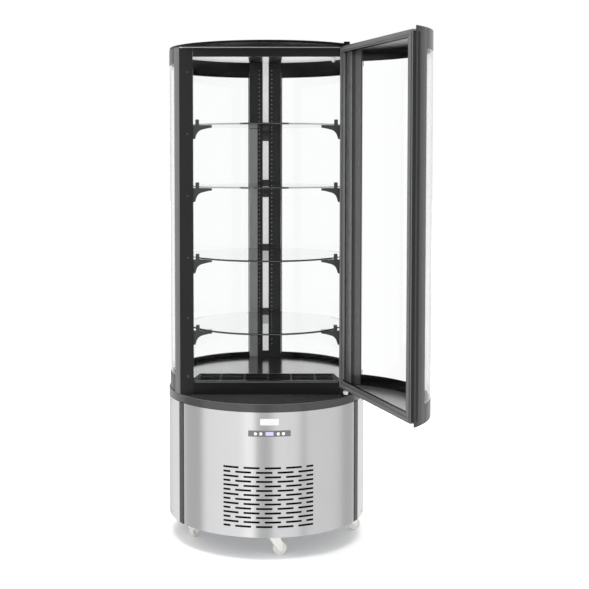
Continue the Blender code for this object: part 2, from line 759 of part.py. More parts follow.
def control_module(axis):
    """The bezel on the front panel and the housing behind it, with sockets for what it carries."""
    face = BASE_RADIUS + GAP + STRIP_PROUD
    half = STRIP_HEIGHT / 2.0
    inner_half = half - STRIP_LEDGE
    bezel_wall = arc_band(face, BASE_RADIUS + GAP, *strip_span(STRIP_LENGTH))
    bezel = solid_plate([bezel_wall], STRIP_MIDDLE - half, STRIP_MIDDLE + half)
    housing_span = strip_span(STRIP_LENGTH - 2.0 * STRIP_LEDGE)
    middle_of_bezel = face - STRIP_PROUD / 2.0
    housing_wall = arc_band(middle_of_bezel, BASE_RADIUS - STRIP_DEPTH, *housing_span)
    join(bezel, solid_plate([housing_wall], STRIP_MIDDLE - inner_half, STRIP_MIDDLE + inner_half))
    depth = BUTTON_SOCKET_DEPTH + OVERRUN
    for angle in button_angles():
        socket = radial_matrix(angle, face + OVERRUN - depth / 2.0, STRIP_MIDDLE)
        cut(bezel, cylinder(BUTTON_RADIUS + GAP, depth, socket))
    window_wall = arc_band(
        face + OVERRUN, face - DISPLAY_DEPTH - GAP, *strip_span(DISPLAY_LENGTH, GAP)
    )
    window_half = DISPLAY_HEIGHT / 2.0 + GAP
    cut(bezel, solid_plate([window_wall], STRIP_MIDDLE - window_half, STRIP_MIDDLE + window_half))
    finish(bezel, "control_bezel", GREY, axis)
    lens = arc_band(face, face - DISPLAY_DEPTH, *strip_span(DISPLAY_LENGTH))
    lens_half = DISPLAY_HEIGHT / 2.0
    finish(
        plate([lens], STRIP_MIDDLE - lens_half, STRIP_MIDDLE + lens_half),
        "display_window",
        DISPLAY,
        axis,
    )


def buttons(axis):
    """Four round buttons, each with its origin on its own axis, at its outer face."""
    face = BASE_RADIUS + GAP + STRIP_PROUD
    outer = face + BUTTON_PROUD
    inner = face - BUTTON_SOCKET_DEPTH + BUTTON_TRAVEL + GAP
    for number, angle in enumerate(button_angles(), start=1):
        length = outer - inner
        button = cylinder(BUTTON_RADIUS, length, Matrix.Translation((0.0, 0.0, -length / 2.0)))
        button.matrix_local = radial_matrix(angle, outer, STRIP_MIDDLE)
        finish(button, f"button_{number}", WHITE, axis)


def badge_plate(axis):
    wall = arc_band(
        BASE_RADIUS + GAP + BADGE_THICKNESS, BASE_RADIUS + GAP, *strip_span(BADGE_LENGTH)
    )
    half = BADGE_HEIGHT / 2.0
    badge = plate([wall], BADGE_MIDDLE - half, BADGE_MIDDLE + half)
    finish(badge, "badge_plate", ZINC, axis)


def compressor(axis):
    """A welded pot with a domed top on a round foot."""
    base = PAN_TOP + GAP
    foot_top = base + COMPRESSOR_FOOT_HEIGHT
    dome_base = base + COMPRESSOR_HEIGHT - COMPRESSOR_RADIUS / 2.0
    profile = [(0.0, base + COMPRESSOR_HEIGHT)]
    for step in range(1, 6):
        angle = FULL_TURN / 4.0 * step / 5
        rise = COMPRESSOR_RADIUS / 2.0 * math.cos(angle)
        profile.append((COMPRESSOR_RADIUS * math.sin(angle), dome_base + rise))
    profile += [
        (COMPRESSOR_RADIUS, foot_top),
        (COMPRESSOR_FOOT_RADIUS, foot_top),
        (COMPRESSOR_FOOT_RADIUS, base),
        (0.0, base),
    ]
    pot = turned(profile, steps=SMALL_STEPS, closed=False)
    finish(moved(pot, COMPRESSOR_X, COMPRESSOR_Y), "compressor", BLACK, axis)


def finned_block(width, depth, spine, fins):
    """The outline of a row of fins on a common back plate, centred on X, from its front at zero."""
    pitch = (width - FIN_THICKNESS) / (fins - 1)
    outline = [(width / 2.0, depth), (-width / 2.0, depth)]
    for fin in range(fins):
        left = -width / 2.0 + fin * pitch
        right = left + FIN_THICKNESS
        root = depth - spine
        if fin:
            outline.append((left, root))
        outline += [(left, 0.0), (right, 0.0)]
        if fin < fins - 1:
            outline.append((right, root))
    return outline


def condenser(axis):
    outline = finned_block(CONDENSER_WIDTH, CONDENSER_DEPTH, CONDENSER_SPINE, CONDENSER_FINS)
    base = PAN_TOP + GAP
    block = plate([outline], base, base + CONDENSER_HEIGHT)
    finish(moved(block, y=CONDENSER_FRONT_Y), "condenser", COPPER, axis)


def front_facing(y):
    """A frame on the Y axis whose Z axis points to the front."""
    return Matrix.Translation((0.0, y, 0.0)) @ Matrix.Rotation(FULL_TURN / 4.0, 4, "X")


def fan_guard(width, bottom, top, middle, hole, hub, front, thickness, motor):
    """An upright plate with a round hole, and a motor held in it by four arms."""
    body = box(-width / 2.0, width / 2.0, front, front + thickness, bottom, top)
    hole_frame = Matrix.Translation((0.0, 0.0, middle)) @ front_facing(front + thickness / 2.0)
    cut(body, cylinder(hole, thickness + 2.0 * OVERRUN, hole_frame, WHOLE_STEPS // 2))
    arm = SHROUD_ARM_WIDTH / 2.0
    reach = hole + OVERRUN
    back = front + thickness
    join(body, box(-reach, reach, back - thickness / 3.0, back, middle - arm, middle + arm))
    join(body, box(-arm, arm, back - thickness / 3.0, back, middle - reach, middle + reach))
    motor_front = back - thickness / 2.0
    motor_frame = Matrix.Translation((0.0, 0.0, middle)) @ front_facing(motor_front + motor / 2.0)
    join(body, cylinder(hub, motor, motor_frame))
    return body


def fan(name, radius, middle, front, look, axis):
    """A fan whose origin is on its own axis: a hub with a bore and pitched blades."""
    hub = cylinder(FAN_HUB_RADIUS, FAN_HUB_LENGTH, Matrix.Identity(4))
    width = radius * FAN_BLADE_WIDTH_SHARE
    for blade in range(FAN_BLADES):
        turn = Matrix.Rotation(FULL_TURN * blade / FAN_BLADES, 4, "Z")
        root = FAN_HUB_RADIUS / 2.0
        reach = radius - root
        pitch = Matrix.Rotation(FAN_BLADE_PITCH, 4, "X")
        place = turn @ Matrix.Translation((root + reach / 2.0, 0.0, 0.0)) @ pitch
        work = bmesh.new()
        size = Matrix.Diagonal((reach, width / 2.0, FAN_BLADE_THICKNESS, 1.0))
        bmesh.ops.create_cube(work, size=1.0, matrix=place @ size)
        join(hub, mesh_object(work))
    hub.matrix_local = Matrix.Translation((0.0, 0.0, middle)) @ front_facing(front)
    for modifier in hub.modifiers:
        modifier.object.parent = hub
    return finish(hub, name, look, axis)


def condenser_fan(axis):
    base = PAN_TOP + GAP
    front = CONDENSER_FRONT_Y + CONDENSER_DEPTH + GAP
    middle = base + CONDENSER_HEIGHT / 2.0
    guard = fan_guard(
        CONDENSER_WIDTH,
        base,
        base + CONDENSER_HEIGHT,
        middle,
        SHROUD_HOLE_RADIUS,
        SHROUD_HUB_RADIUS,
        front + FAN_HUB_LENGTH,
        SHROUD_THICKNESS,
        SHROUD_MOTOR_LENGTH,
    )
    wall = SHROUD_THICKNESS / 2.0
    outer = rectangle(-CONDENSER_WIDTH / 2.0, base, CONDENSER_WIDTH / 2.0, base + CONDENSER_HEIGHT)
    inner = rectangle(
        wall - CONDENSER_WIDTH / 2.0,
        base + wall,
        CONDENSER_WIDTH / 2.0 - wall,
        base + CONDENSER_HEIGHT - wall,
    )
    join(guard, solid_plate([outer, inner], front, front + FAN_HUB_LENGTH + GAP, "front"))
    finish(guard, "condenser_fan_shroud", BLACK, axis)
    hub_middle = front + FAN_HUB_LENGTH + SHROUD_THICKNESS / 2.0 - GAP - FAN_HUB_LENGTH / 2.0
    fan("condenser_fan", CONDENSER_FAN_RADIUS, middle, hub_middle, ZINC, axis)


def evaporator_well(axis):
    """The insulated tub under the cold space, with a spout to the rear column."""
    outer = behind_chord(WELL_RADIUS, WELL_FRONT_Y)
    inner = behind_chord(WELL_RADIUS - WELL_WALL, WELL_FRONT_Y + WELL_WALL)
    tub = solid_plate([outer], WELL_BOTTOM, WELL_TOP)
    cut(tub, solid_plate([inner], WELL_FLOOR, WELL_TOP + OVERRUN))
    middle = (COLUMN_LEFT_X + COLUMN_RIGHT_X) / 2.0
    half = WELL_SPOUT_WIDTH / 2.0
    root = WELL_RADIUS - WELL_WALL - OVERRUN
    duct_half = half + WELL_SPOUT_WALL
    mouth = COLUMN_FRONT_Y - GAP
    duct_bottom = CASE_BOTTOM + GAP
    duct_low = middle - duct_half
    duct_high = middle + duct_half
    duct_root = WELL_RADIUS - WELL_WALL / 2.0
    join(tub, box(duct_low, duct_high, duct_root, mouth, duct_bottom, WELL_TOP - GAP))
    bore_top = WELL_TOP - WELL_SPOUT_COVER
    bore_bottom = bore_top - WELL_SPOUT_HEIGHT
    cut(tub, box(middle - half, middle + half, root, mouth + OVERRUN, bore_bottom, bore_top))
    finish(tub, "evaporator_well", FOAM, axis)


def evaporator(axis):
    """The finned coil that stands in the well, and the fan plate before it."""
    floor = WELL_FLOOR + GAP
    outline = finned_block(2.0 * COIL_HALF_WIDTH, COIL_DEPTH, COIL_SPINE, COIL_FINS)
    coil = plate([outline], floor, floor + COIL_HEIGHT)
    finish(moved(coil, y=COIL_Y), "evaporator_coil", COPPER, axis)
    middle = floor + FAN_PLATE_HEIGHT / 2.0
    guard = fan_guard(
        FAN_PLATE_WIDTH,
        floor,
        floor + FAN_PLATE_HEIGHT,
        middle,
        FAN_PLATE_HOLE_RADIUS,
        SHROUD_HUB_RADIUS,
        FAN_PLATE_Y,
        FAN_PLATE_THICKNESS,
        EVAPORATOR_MOTOR_LENGTH,
    )
    finish(guard, "evaporator_fan_plate", ZINC, axis)
    hub_middle = FAN_PLATE_Y + FAN_PLATE_THICKNESS / 2.0 - GAP - FAN_HUB_LENGTH / 2.0
    fan("evaporator_fan", EVAPORATOR_FAN_RADIUS, middle, hub_middle, WHITE, axis)


def caster_fork(name, swivel):
    """A plate under the drum and a fork with its axle; X points along the trail."""
    plate_top = PANEL_BOTTOM - GAP
    plate_bottom = plate_top - CASTER_PLATE_THICKNESS
    heel_top = plate_bottom - FORK_HEEL_DROP
    toe = CASTER_TRAIL + FORK_TOE
    outline = [
        (-FORK_REAR, plate_bottom + CASTER_PLATE_THICKNESS / 2.0),
        (FORK_CROWN, plate_bottom + CASTER_PLATE_THICKNESS / 2.0),
        (toe, WHEEL_RADIUS + FORK_TOE_RISE),
        (toe, WHEEL_RADIUS - FORK_TOE_DROP),
        (CASTER_TRAIL - FORK_TOE, WHEEL_RADIUS - FORK_TOE_DROP),
        (-FORK_REAR / 3.0, heel_top - FORK_HEEL_HEIGHT),
        (-FORK_REAR, heel_top),
    ]
    half = FORK_WIDTH / 2.0
    fork = solid_plate([outline], -half, half, "front")
    axle_frame = Matrix.Translation((CASTER_TRAIL, 0.0, WHEEL_RADIUS)) @ front_facing(0.0)
    clearance = WHEEL_RADIUS + WHEEL_CLEARANCE
    join(fork, upright(0.0, 0.0, plate_bottom, plate_top, CASTER_PLATE_RADIUS))
    cut(fork, cylinder(clearance, FORK_SLOT_WIDTH, axle_frame))
    join(fork, cylinder(AXLE_RADIUS, FORK_WIDTH - GAP, axle_frame))
    for modifier in fork.modifiers:
        modifier.object.parent = swivel
    finish(fork, name, ZINC, swivel)


def caster_wheel(name, swivel):
    """A wheel about its own axle, with a bore for the pin."""
    half = WHEEL_WIDTH / 2.0
    bore = AXLE_RADIUS + GAP
    profile = (
        (bore, half),
        (WHEEL_RADIUS - WHEEL_CHAMFER, half),
        (WHEEL_RADIUS, half - WHEEL_CHAMFER),
        (WHEEL_RADIUS, WHEEL_CHAMFER - half),
        (WHEEL_RADIUS - WHEEL_CHAMFER, -half),
        (bore, -half),
    )
    wheel = turned(profile, steps=SMALL_STEPS)
    wheel.location = (CASTER_TRAIL, 0.0, WHEEL_RADIUS)
    wheel.rotation_euler = (FULL_TURN / 4.0, 0.0, 0.0)
    finish(wheel, name, IVORY, swivel)


def casters(axis):
    for name, place, trail in CASTERS:
        around = math.radians(place)
        x = CASTER_RING_RADIUS * math.cos(around)
        y = CASTER_RING_RADIUS * math.sin(around)
        swivel = empty(f"caster_swivel_{name}", (x, y, 0.0), axis, math.radians(trail))
        caster_fork(f"caster_fork_{name}", swivel)
        caster_wheel(f"caster_wheel_{name}", swivel)


def mirrored(loop, side):
    """An outline of the right-hand side, or its mirror image for the left."""
    return [(side * x, y) for x, y in loop]


def posts(axis):
    """The two hollow posts beside the door opening, with a rebate for a bracket rail."""
    back = [facet_point(BAND_GROOVE_RADIUS, POST_SIDE_ANGLE)]
    outer = [
        (POST_FACE_INNER_X, DOOR_PLANE_Y),
        *arc(BASE_RADIUS, POST_FRONT_ANGLE, POST_SIDE_ANGLE),
        *back,
        (POST_FACE_INNER_X + POST_REBATE, POST_BACK_Y),
        (POST_FACE_INNER_X + POST_REBATE, DOOR_PLANE_Y + POST_LIP),
        (POST_FACE_INNER_X, DOOR_PLANE_Y + POST_LIP),
    ]
    inner_x = POST_FACE_INNER_X + POST_REBATE + POST_WALL
    inner_radius = BASE_RADIUS - POST_WALL
    wall_angle = POST_WALL / BASE_RADIUS
    hollow = [
        (inner_x, DOOR_PLANE_Y + POST_WALL),
        *arc(inner_radius, POST_FRONT_ANGLE + 2.0 * wall_angle, POST_SIDE_ANGLE - wall_angle),
        facet_point(BAND_GROOVE_RADIUS + POST_WALL, POST_SIDE_ANGLE - 2.0 * wall_angle),
        (inner_x, POST_BACK_Y - POST_WALL),
    ]
    for name, side in (("post_left", -1.0), ("post_right", 1.0)):
        loops = [mirrored(outer, side), mirrored(hollow, side)]
        finish(plate(loops, CASE_BOTTOM, CASE_TOP), name, GREY, axis)


def header_and_sill(axis):
    """The bars over and under the door opening, between the posts."""
    reach = POST_FACE_INNER_X - GAP
    front = DOOR_PLANE_Y
    back = DOOR_PLANE_Y + HEADER_DEPTH
    channel = [
        (front, HEADER_BOTTOM),
        (back, HEADER_BOTTOM),
        (back, HEADER_BOTTOM + SECTION_WALL),
        (front + SECTION_WALL, HEADER_BOTTOM + SECTION_WALL),
        (front + SECTION_WALL, CASE_TOP - SECTION_WALL),
        (back, CASE_TOP - SECTION_WALL),
        (back, CASE_TOP),
        (front, CASE_TOP),
    ]
    finish(plate([channel], -reach, reach, "side"), "header", GREY, axis)
    back = DOOR_PLANE_Y + SILL_DEPTH
    angle = [
        (front, CASE_BOTTOM),
        (front + SECTION_WALL, CASE_BOTTOM),
        (front + SECTION_WALL, SILL_TOP - SECTION_WALL),
        (back, SILL_TOP - SECTION_WALL),
        (back, SILL_TOP),
        (front, SILL_TOP),
    ]
    finish(plate([angle], -reach, reach, "side"), "sill", BLACK, axis)


def front_wedge(low, high):
    """A cutter for what a turned ring has before the posts."""
    reach = BASE_RADIUS + OVERRUN
    side = POST_SIDE_ANGLE + GAP / BASE_RADIUS
    outline = [(0.0, 0.0), *arc(reach, -side, side)]
    return solid_plate([outline], low, high)


def column_block(low, high):
    """A cutter for the room that the rear column takes."""
    return box(
        COLUMN_LEFT_X - GAP,
        COLUMN_RIGHT_X + GAP,
        FLANGE_RADIUS - OVERRUN,
        BASE_RADIUS + OVERRUN,
        low,
        high,
    )


def bottom_band(axis):
    """The lower curved channel that the panes stand in, with a flange for the floor plate."""
    groove = BAND_RADIUS - BAND_LIP
    profile = (
        (BAND_RADIUS, BOTTOM_BAND_TOP),
        (BAND_RADIUS, CASE_BOTTOM),
        (BAND_FOOT_RADIUS, CASE_BOTTOM),
        (BAND_FOOT_RADIUS, FLANGE_TOP - FLANGE_THICKNESS),
        (FLANGE_RADIUS, FLANGE_TOP - FLANGE_THICKNESS),
        (FLANGE_RADIUS, FLANGE_TOP),
        (BAND_INNER_RADIUS, FLANGE_TOP),
        (BAND_INNER_RADIUS, BOTTOM_RING_TOP),
        (BAND_GROOVE_RADIUS, BOTTOM_RING_TOP),
        (BAND_GROOVE_RADIUS, BOTTOM_GROOVE_FLOOR),
        (groove, BOTTOM_GROOVE_FLOOR),
        (groove, BOTTOM_BAND_TOP),
    )
    band = turned(profile)
    low = CASE_BOTTOM - OVERRUN
    high = BOTTOM_RING_TOP + OVERRUN
    room = column_block(CASE_BOTTOM + BAND_LIP, high)
    cut(band, front_wedge(low, high), room)
    finish(band, "bottom_band", BLACK, axis)


def top_band(axis):
    """The upper curved channel over the panes, with a ledge for the ceiling."""
    groove = BAND_RADIUS - BAND_LIP
    ledge = CEILING_BOTTOM - GAP
    profile = (
        (BAND_RADIUS, CASE_TOP),
        (BAND_RADIUS, TOP_BAND_BOTTOM),
        (groove, TOP_BAND_BOTTOM),
        (groove, TOP_GROOVE_ROOF),
        (BAND_GROOVE_RADIUS, TOP_GROOVE_ROOF),
        (BAND_GROOVE_RADIUS, TOP_RING_BOTTOM),
        (BAND_INNER_RADIUS, TOP_RING_BOTTOM),
        (BAND_INNER_RADIUS, ledge),
        (BAND_INNER_RADIUS + CEILING_LEDGE, ledge),
        (BAND_INNER_RADIUS + CEILING_LEDGE, CASE_TOP),
    )
    band = turned(profile)
    wedge = front_wedge(TOP_RING_BOTTOM - OVERRUN, CASE_TOP + OVERRUN)
    cut(band, wedge, column_block(TOP_RING_BOTTOM - OVERRUN, CEILING_BOTTOM))
    finish(band, "top_band", BLACK, axis)


def ceiling(axis):
    """The white panel under the cap, with a gap for the air that comes up the column."""
    radius = BAND_INNER_RADIUS + CEILING_LEDGE - CEILING_CLEARANCE
    panel = solid_plate(
        [behind_chord(radius, CEILING_FRONT_Y)],
        CEILING_BOTTOM,
        CEILING_BOTTOM + CEILING_THICKNESS,
    )
    middle = (COLUMN_LEFT_X + COLUMN_RIGHT_X) / 2.0
    half = CEILING_INTAKE_WIDTH / 2.0
    notch = box(
        middle - half,
        middle + half,
        radius - CEILING_INTAKE_DEPTH,
        radius + OVERRUN,
        CEILING_BOTTOM - OVERRUN,
        CASE_TOP,
    )
    finish(cut(panel, notch), "ceiling", WHITE, axis)


def top_cap(axis):
    """The flat cap, with an ear, a boss and a pin for the door's upper pivot."""
    disc = solid_plate([circle(CAP_RADIUS)], CAP_BOTTOM, CAP_TOP)
    ear_top = CAP_TOP + CAP_BOSS_HEIGHT
    join(disc, upright(PIVOT_X, PIVOT_Y, CAP_BOTTOM, ear_top, CAP_EAR_RADIUS))
    join(disc, upright(PIVOT_X, PIVOT_Y, CAP_PIN_BOTTOM, CAP_TOP, PIVOT_PIN_RADIUS))
    finish(disc, "top_cap", BLACK, axis)


def glass_pane(name, start, end, axis):
    """A curved double pane with a spacer at each upright edge."""
    inside = PANE_SPACER / GLASS_OUTER_RADIUS
    low, high = min(start, end), max(start, end)
    shape = arc_band(GLASS_OUTER_RADIUS, GLASS_INNER_RADIUS, low, high)
    hollow = arc_band(
        GLASS_OUTER_RADIUS - PANE_THICKNESS,
        GLASS_INNER_RADIUS + PANE_THICKNESS,
        low + inside,
        high - inside,
    )
    pane = plate([shape, hollow], BOTTOM_GROOVE_FLOOR + GAP, TOP_GROOVE_ROOF - GAP)
    finish(pane, name, GLASS, axis)


def glass_panes(axis):
    front = POST_SIDE_ANGLE + 2.0 * GAP / BASE_RADIUS
    half_turn = FULL_TURN / 2.0
    right_end = half_turn - math.asin((COLUMN_RIGHT_X + 2.0 * GAP) / GLASS_INNER_RADIUS)
    left_end = half_turn - math.asin((2.0 * GAP - COLUMN_LEFT_X) / GLASS_INNER_RADIUS)
    glass_pane("glass_right", front, right_end, axis)
    glass_pane("glass_left", -front, -left_end, axis)


def rear_column(axis):
    """The hollow column at the back, which carries cold air up, the lights and a bracket rail."""
    left = -math.asin(-COLUMN_LEFT_X / BAND_RADIUS)
    right = math.asin(COLUMN_RIGHT_X / BAND_RADIUS)
    half_turn = FULL_TURN / 2.0
    outer = [
        (COLUMN_LEFT_X, COLUMN_FRONT_Y),
        (COLUMN_RIGHT_X, COLUMN_FRONT_Y),
        *arc(BAND_RADIUS, half_turn - right, half_turn - left),
    ]
    inner_radius = BAND_RADIUS - COLUMN_WALL
    left = -math.asin((-COLUMN_LEFT_X - COLUMN_WALL) / inner_radius)
    right = math.asin((COLUMN_RIGHT_X - COLUMN_WALL) / inner_radius)
    inner = [
        (COLUMN_LEFT_X + COLUMN_WALL, COLUMN_FRONT_Y + COLUMN_WALL),
        (COLUMN_RIGHT_X - COLUMN_WALL, COLUMN_FRONT_Y + COLUMN_WALL),
        *arc(inner_radius, half_turn - right, half_turn - left),
    ]
    bottom = CASE_BOTTOM + BAND_LIP + GAP
    column = solid_plate([outer, inner], bottom, CEILING_BOTTOM - 2.0 * GAP)
    spout_top = WELL_TOP - WELL_SPOUT_COVER
    middle = (COLUMN_LEFT_X + COLUMN_RIGHT_X) / 2.0
    half = WELL_SPOUT_WIDTH / 2.0
    inlet = box(
        middle - half,
        middle + half,
        COLUMN_FRONT_Y - OVERRUN,
        COLUMN_FRONT_Y + 2.0 * COLUMN_WALL,
        DECK_TOP + COLUMN_INLET_RISE,
        spout_top,
    )
    finish(cut(column, inlet), "rear_column", BLACK, axis)


def light_strip(axis):
    """Two rows of lights beside the rear rail, on one board that is joined at the top."""
    outline = [
        (RAIL_X - LIGHT_OUTER_HALF, SIDE_RAIL_BOTTOM),
        (RAIL_X - LIGHT_INNER_HALF, SIDE_RAIL_BOTTOM),
        (RAIL_X - LIGHT_INNER_HALF, LIGHT_TOP - LIGHT_BRIDGE),
        (RAIL_X + LIGHT_INNER_HALF, LIGHT_TOP - LIGHT_BRIDGE),
        (RAIL_X + LIGHT_INNER_HALF, SIDE_RAIL_BOTTOM),
        (RAIL_X + LIGHT_OUTER_HALF, SIDE_RAIL_BOTTOM),
        (RAIL_X + LIGHT_OUTER_HALF, LIGHT_TOP),
        (RAIL_X - LIGHT_OUTER_HALF, LIGHT_TOP),
    ]
    back = COLUMN_FRONT_Y - GAP
    board = plate([outline], back - LIGHT_THICKNESS, back, "front")
    finish(board, "light_strip", GREY, axis)


def rail_outline(bottom, top, reach):
    """A bracket rail seen from the side, with its back at zero and its arms reaching out."""
    face = reach * RAIL_THICKNESS
    outline = [(0.0, bottom), (face, bottom)]
    for middle in SHELF_MIDDLES:
        seat = middle - SHELF_THICKNESS / 2.0 - GAP
        outline.append((face, seat - ARM_ROOT))
        for along, down in GUSSET_SHARES:
            outline.append((face + reach * along * ARM_LENGTH, seat - down * ARM_ROOT))
        tip = face + reach * ARM_LENGTH
        tab_end = face + reach * (TAB_START + TAB_LENGTH)
        tab_start = face + reach * TAB_START
        outline += [
            (tip, seat - ARM_TIP),
            (tip, seat),
            (tab_end, seat),
            (tab_end, seat + TAB_HEIGHT),
            (tab_start, seat + TAB_HEIGHT),
            (tab_start, seat),
            (face, seat),
        ]
    return outline + [(face, top), (0.0, top)]


def bracket_rails(axis):
    """The slotted uprights in the posts and on the column, each with its four brackets."""
    half = RAIL_WIDTH / 2.0
    back_x = POST_FACE_INNER_X + POST_REBATE - GAP
    for name, side in (("bracket_rail_left", -1.0), ("bracket_rail_right", 1.0)):
        outline = rail_outline(SIDE_RAIL_BOTTOM, TOP_RING_BOTTOM, -side)
        rail = plate([outline], SIDE_RAIL_Y - half, SIDE_RAIL_Y + half, "front")
        finish(moved(rail, x=side * back_x), name, BLACK, axis)
    outline = rail_outline(REAR_RAIL_BOTTOM, REAR_RAIL_TOP, -1.0)
    rail = plate([outline], RAIL_X - half, RAIL_X + half, "side")
    back_y = COLUMN_FRONT_Y - LIGHT_THICKNESS - 2.0 * GAP
    finish(moved(rail, y=back_y), "bracket_rail_rear", WHITE, axis)


def shelves(axis):
    for number, middle in enumerate(SHELF_MIDDLES, start=1):
        half = SHELF_THICKNESS / 2.0
        disc = plate([circle(SHELF_RADIUS)], middle - half, middle + half)
        finish(disc, f"shelf_{number}", GLASS, axis)


def floor_plate(axis):
    """The oval steel plate behind the grille, notched for the column."""
    front_y = GRILLE_REAR_Y + GAP
    start = math.asin(GRILLE_SHOULDER_Y / PLATE_REAR_Y)
    end = FULL_TURN / 2.0 - start
    count = round((end - start) / FACET)
    oval = []
    for step in range(count + 1):
        angle = start + (end - start) * step / count
        oval.append((PLATE_HALF_WIDTH * math.cos(angle), PLATE_REAR_Y * math.sin(angle)))
    shoulder = GRILLE_FRONT_HALF + 2.0 * GAP
    corner = GRILLE_REAR_HALF + 2.0 * GAP
    outline = oval + [
        (-shoulder, GRILLE_SHOULDER_Y),
        (-corner, front_y),
        (corner, front_y),
        (shoulder, GRILLE_SHOULDER_Y),
    ]
    steel = solid_plate([outline], FLOOR_BOTTOM, FLOOR_BOTTOM + PLATE_THICKNESS)
    notch = box(
        COLUMN_LEFT_X - GAP,
        COLUMN_RIGHT_X + GAP,
        COLUMN_FRONT_Y - GAP,
        BASE_RADIUS,
        FLOOR_BOTTOM - OVERRUN,
        FLOOR_BOTTOM + OVERRUN,
    )
    finish(cut(steel, notch), "floor_plate", STEEL, axis)


def air_grille(axis):
    """The black grille behind the sill, through which the air returns to the well."""
    front_y = DOOR_PLANE_Y + SILL_DEPTH + GAP
    outline = [
        (-GRILLE_FRONT_HALF, front_y),
        (GRILLE_FRONT_HALF, front_y),
        (GRILLE_FRONT_HALF, GRILLE_SHOULDER_Y),
        (GRILLE_REAR_HALF, GRILLE_REAR_Y),
        (-GRILLE_REAR_HALF, GRILLE_REAR_Y),
        (-GRILLE_FRONT_HALF, GRILLE_SHOULDER_Y),
    ]
    loops = [outline]
    limit = GRILLE_REAR_HALF - GRILLE_EDGE
    for row in range(GRILLE_ROWS):
        low = front_y + GRILLE_EDGE + row * GRILLE_ROW_PITCH
        for bay in range(GRILLE_BAYS):
            middle = GRILLE_RIB_X + (bay - (GRILLE_BAYS - 1) / 2.0) * GRILLE_BAY_PITCH
            left = max(middle - GRILLE_BAY_SLOT / 2.0, -limit)
            right = min(middle + GRILLE_BAY_SLOT / 2.0, limit)
            if right - left > GRILLE_EDGE:
                loops.append(rectangle(left, low, right, low + GRILLE_ROW_SLOT))
    finish(plate(loops, GRILLE_BOTTOM, GRILLE_TOP), "air_grille", BLACK, axis)


def door_piece(thing, name, look, hinge):
    """Hang a piece, modelled where it stands with the door shut, on the door's pivot."""
    bpy.context.view_layer.update()
    shut = Matrix.Translation((-PIVOT_X, -PIVOT_Y, 0.0))
    thing.matrix_local = shut @ thing.matrix_local
    for modifier in thing.modifiers:
        modifier.object.matrix_local = shut @ modifier.object.matrix_local
        modifier.object.parent = hinge
    return finish(thing, name, look, hinge)


def door_frame(hinge):
    outer = rectangle(RING_LEFT_X, RING_BOTTOM, RING_RIGHT_X, RING_TOP)
    inner = rectangle(
        RING_LEFT_X + RING_MEMBER,
        RING_BOTTOM + RING_SILL,
        RING_RIGHT_X - RING_MEMBER - GAP,
        RING_TOP - RING_HEAD,
    )
    ring = plate([outer, inner], RING_FRONT_Y, RING_FACE_Y, "front")
    door_piece(ring, "door_frame", GREY, hinge)


def door_gasket(hinge):
    low = RING_BOTTOM + GASKET_EDGE
    high = RING_TOP - GASKET_EDGE
    left = RING_LEFT_X + GASKET_EDGE
    outer = rectangle(left, low, GASKET_HINGE_X, high)
    inner = rectangle(
        left + GASKET_WIDTH,
        low + GASKET_WIDTH,
        GASKET_HINGE_X - GASKET_WIDTH,
        high - GASKET_WIDTH,
    )
    start = RING_FACE_Y + GAP
    seal = plate([outer, inner], start, start + GASKET_THICKNESS, "front")
    door_piece(seal, "door_gasket", SEAL, hinge)


def door_rail(name, floor, band, hinge):
    """A flat segment between the ring and the pane, joined to a curved band."""
    radius = SHELL_INNER_RADIUS - GAP
    back_y = RING_FRONT_Y - GAP
    outline = [
        *arc(radius, -STILE_END_ANGLE, STILE_END_ANGLE),
        (STILE_HINGE_END_X - SHELL_THICKNESS - GAP, back_y),
        (STILE_FREE_END_X + SHELL_THICKNESS + GAP, back_y),
    ]
    flat = solid_plate([outline], *floor)
    inner = SHELL_OUTER_RADIUS - RAIL_BAND_THICKNESS
    angle = STILE_ANGLE - GAP / SHELL_OUTER_RADIUS
    join(flat, solid_plate([arc_band(SHELL_OUTER_RADIUS, inner, -angle, angle)], *band))
    hole = upright(
        PIVOT_X,
        PIVOT_Y,
        floor[0] - OVERRUN,
        floor[1] + OVERRUN,
        PIVOT_PIN_RADIUS + GAP,
    )
    cut(flat, hole)
    door_piece(flat, name, BLACK, hinge)


def door_rails(hinge):
    door_rail(
        "door_top", (SOFFIT_BOTTOM, SOFFIT_TOP), (TOP_BAND_BOTTOM, SHELL_TOP), hinge
    )
    door_rail(
        "door_bottom",
        (DOOR_FLOOR_BOTTOM, DOOR_FLOOR_TOP),
        (SHELL_BOTTOM, BOTTOM_BAND_OF_DOOR_TOP),
        hinge,
    )


def stile(end_x, side):
    """One curved upright of the door, from the pane to the ring."""
    outer = arc(SHELL_OUTER_RADIUS, side * STILE_ANGLE, side * STILE_END_ANGLE)
    inner = arc(SHELL_INNER_RADIUS, side * STILE_END_ANGLE, side * STILE_ANGLE)
    end = [(end_x, STILE_END_Y), (end_x - side * SHELL_THICKNESS, STILE_END_Y)]
    return solid_plate([outer + end + inner], SHELL_BOTTOM, SHELL_TOP)


def door_stiles(hinge):
    door_piece(stile(STILE_FREE_END_X, -1.0), "door_stile_latch", GREY, hinge)
    notched = stile(STILE_HINGE_END_X, 1.0)
    top = SHELL_TOP + OVERRUN
    cut(notched, upright(PIVOT_X, PIVOT_Y, STILE_NOTCH_BOTTOM, top, STILE_NOTCH_RADIUS))
    door_piece(notched, "door_stile_hinge", GREY, hinge)


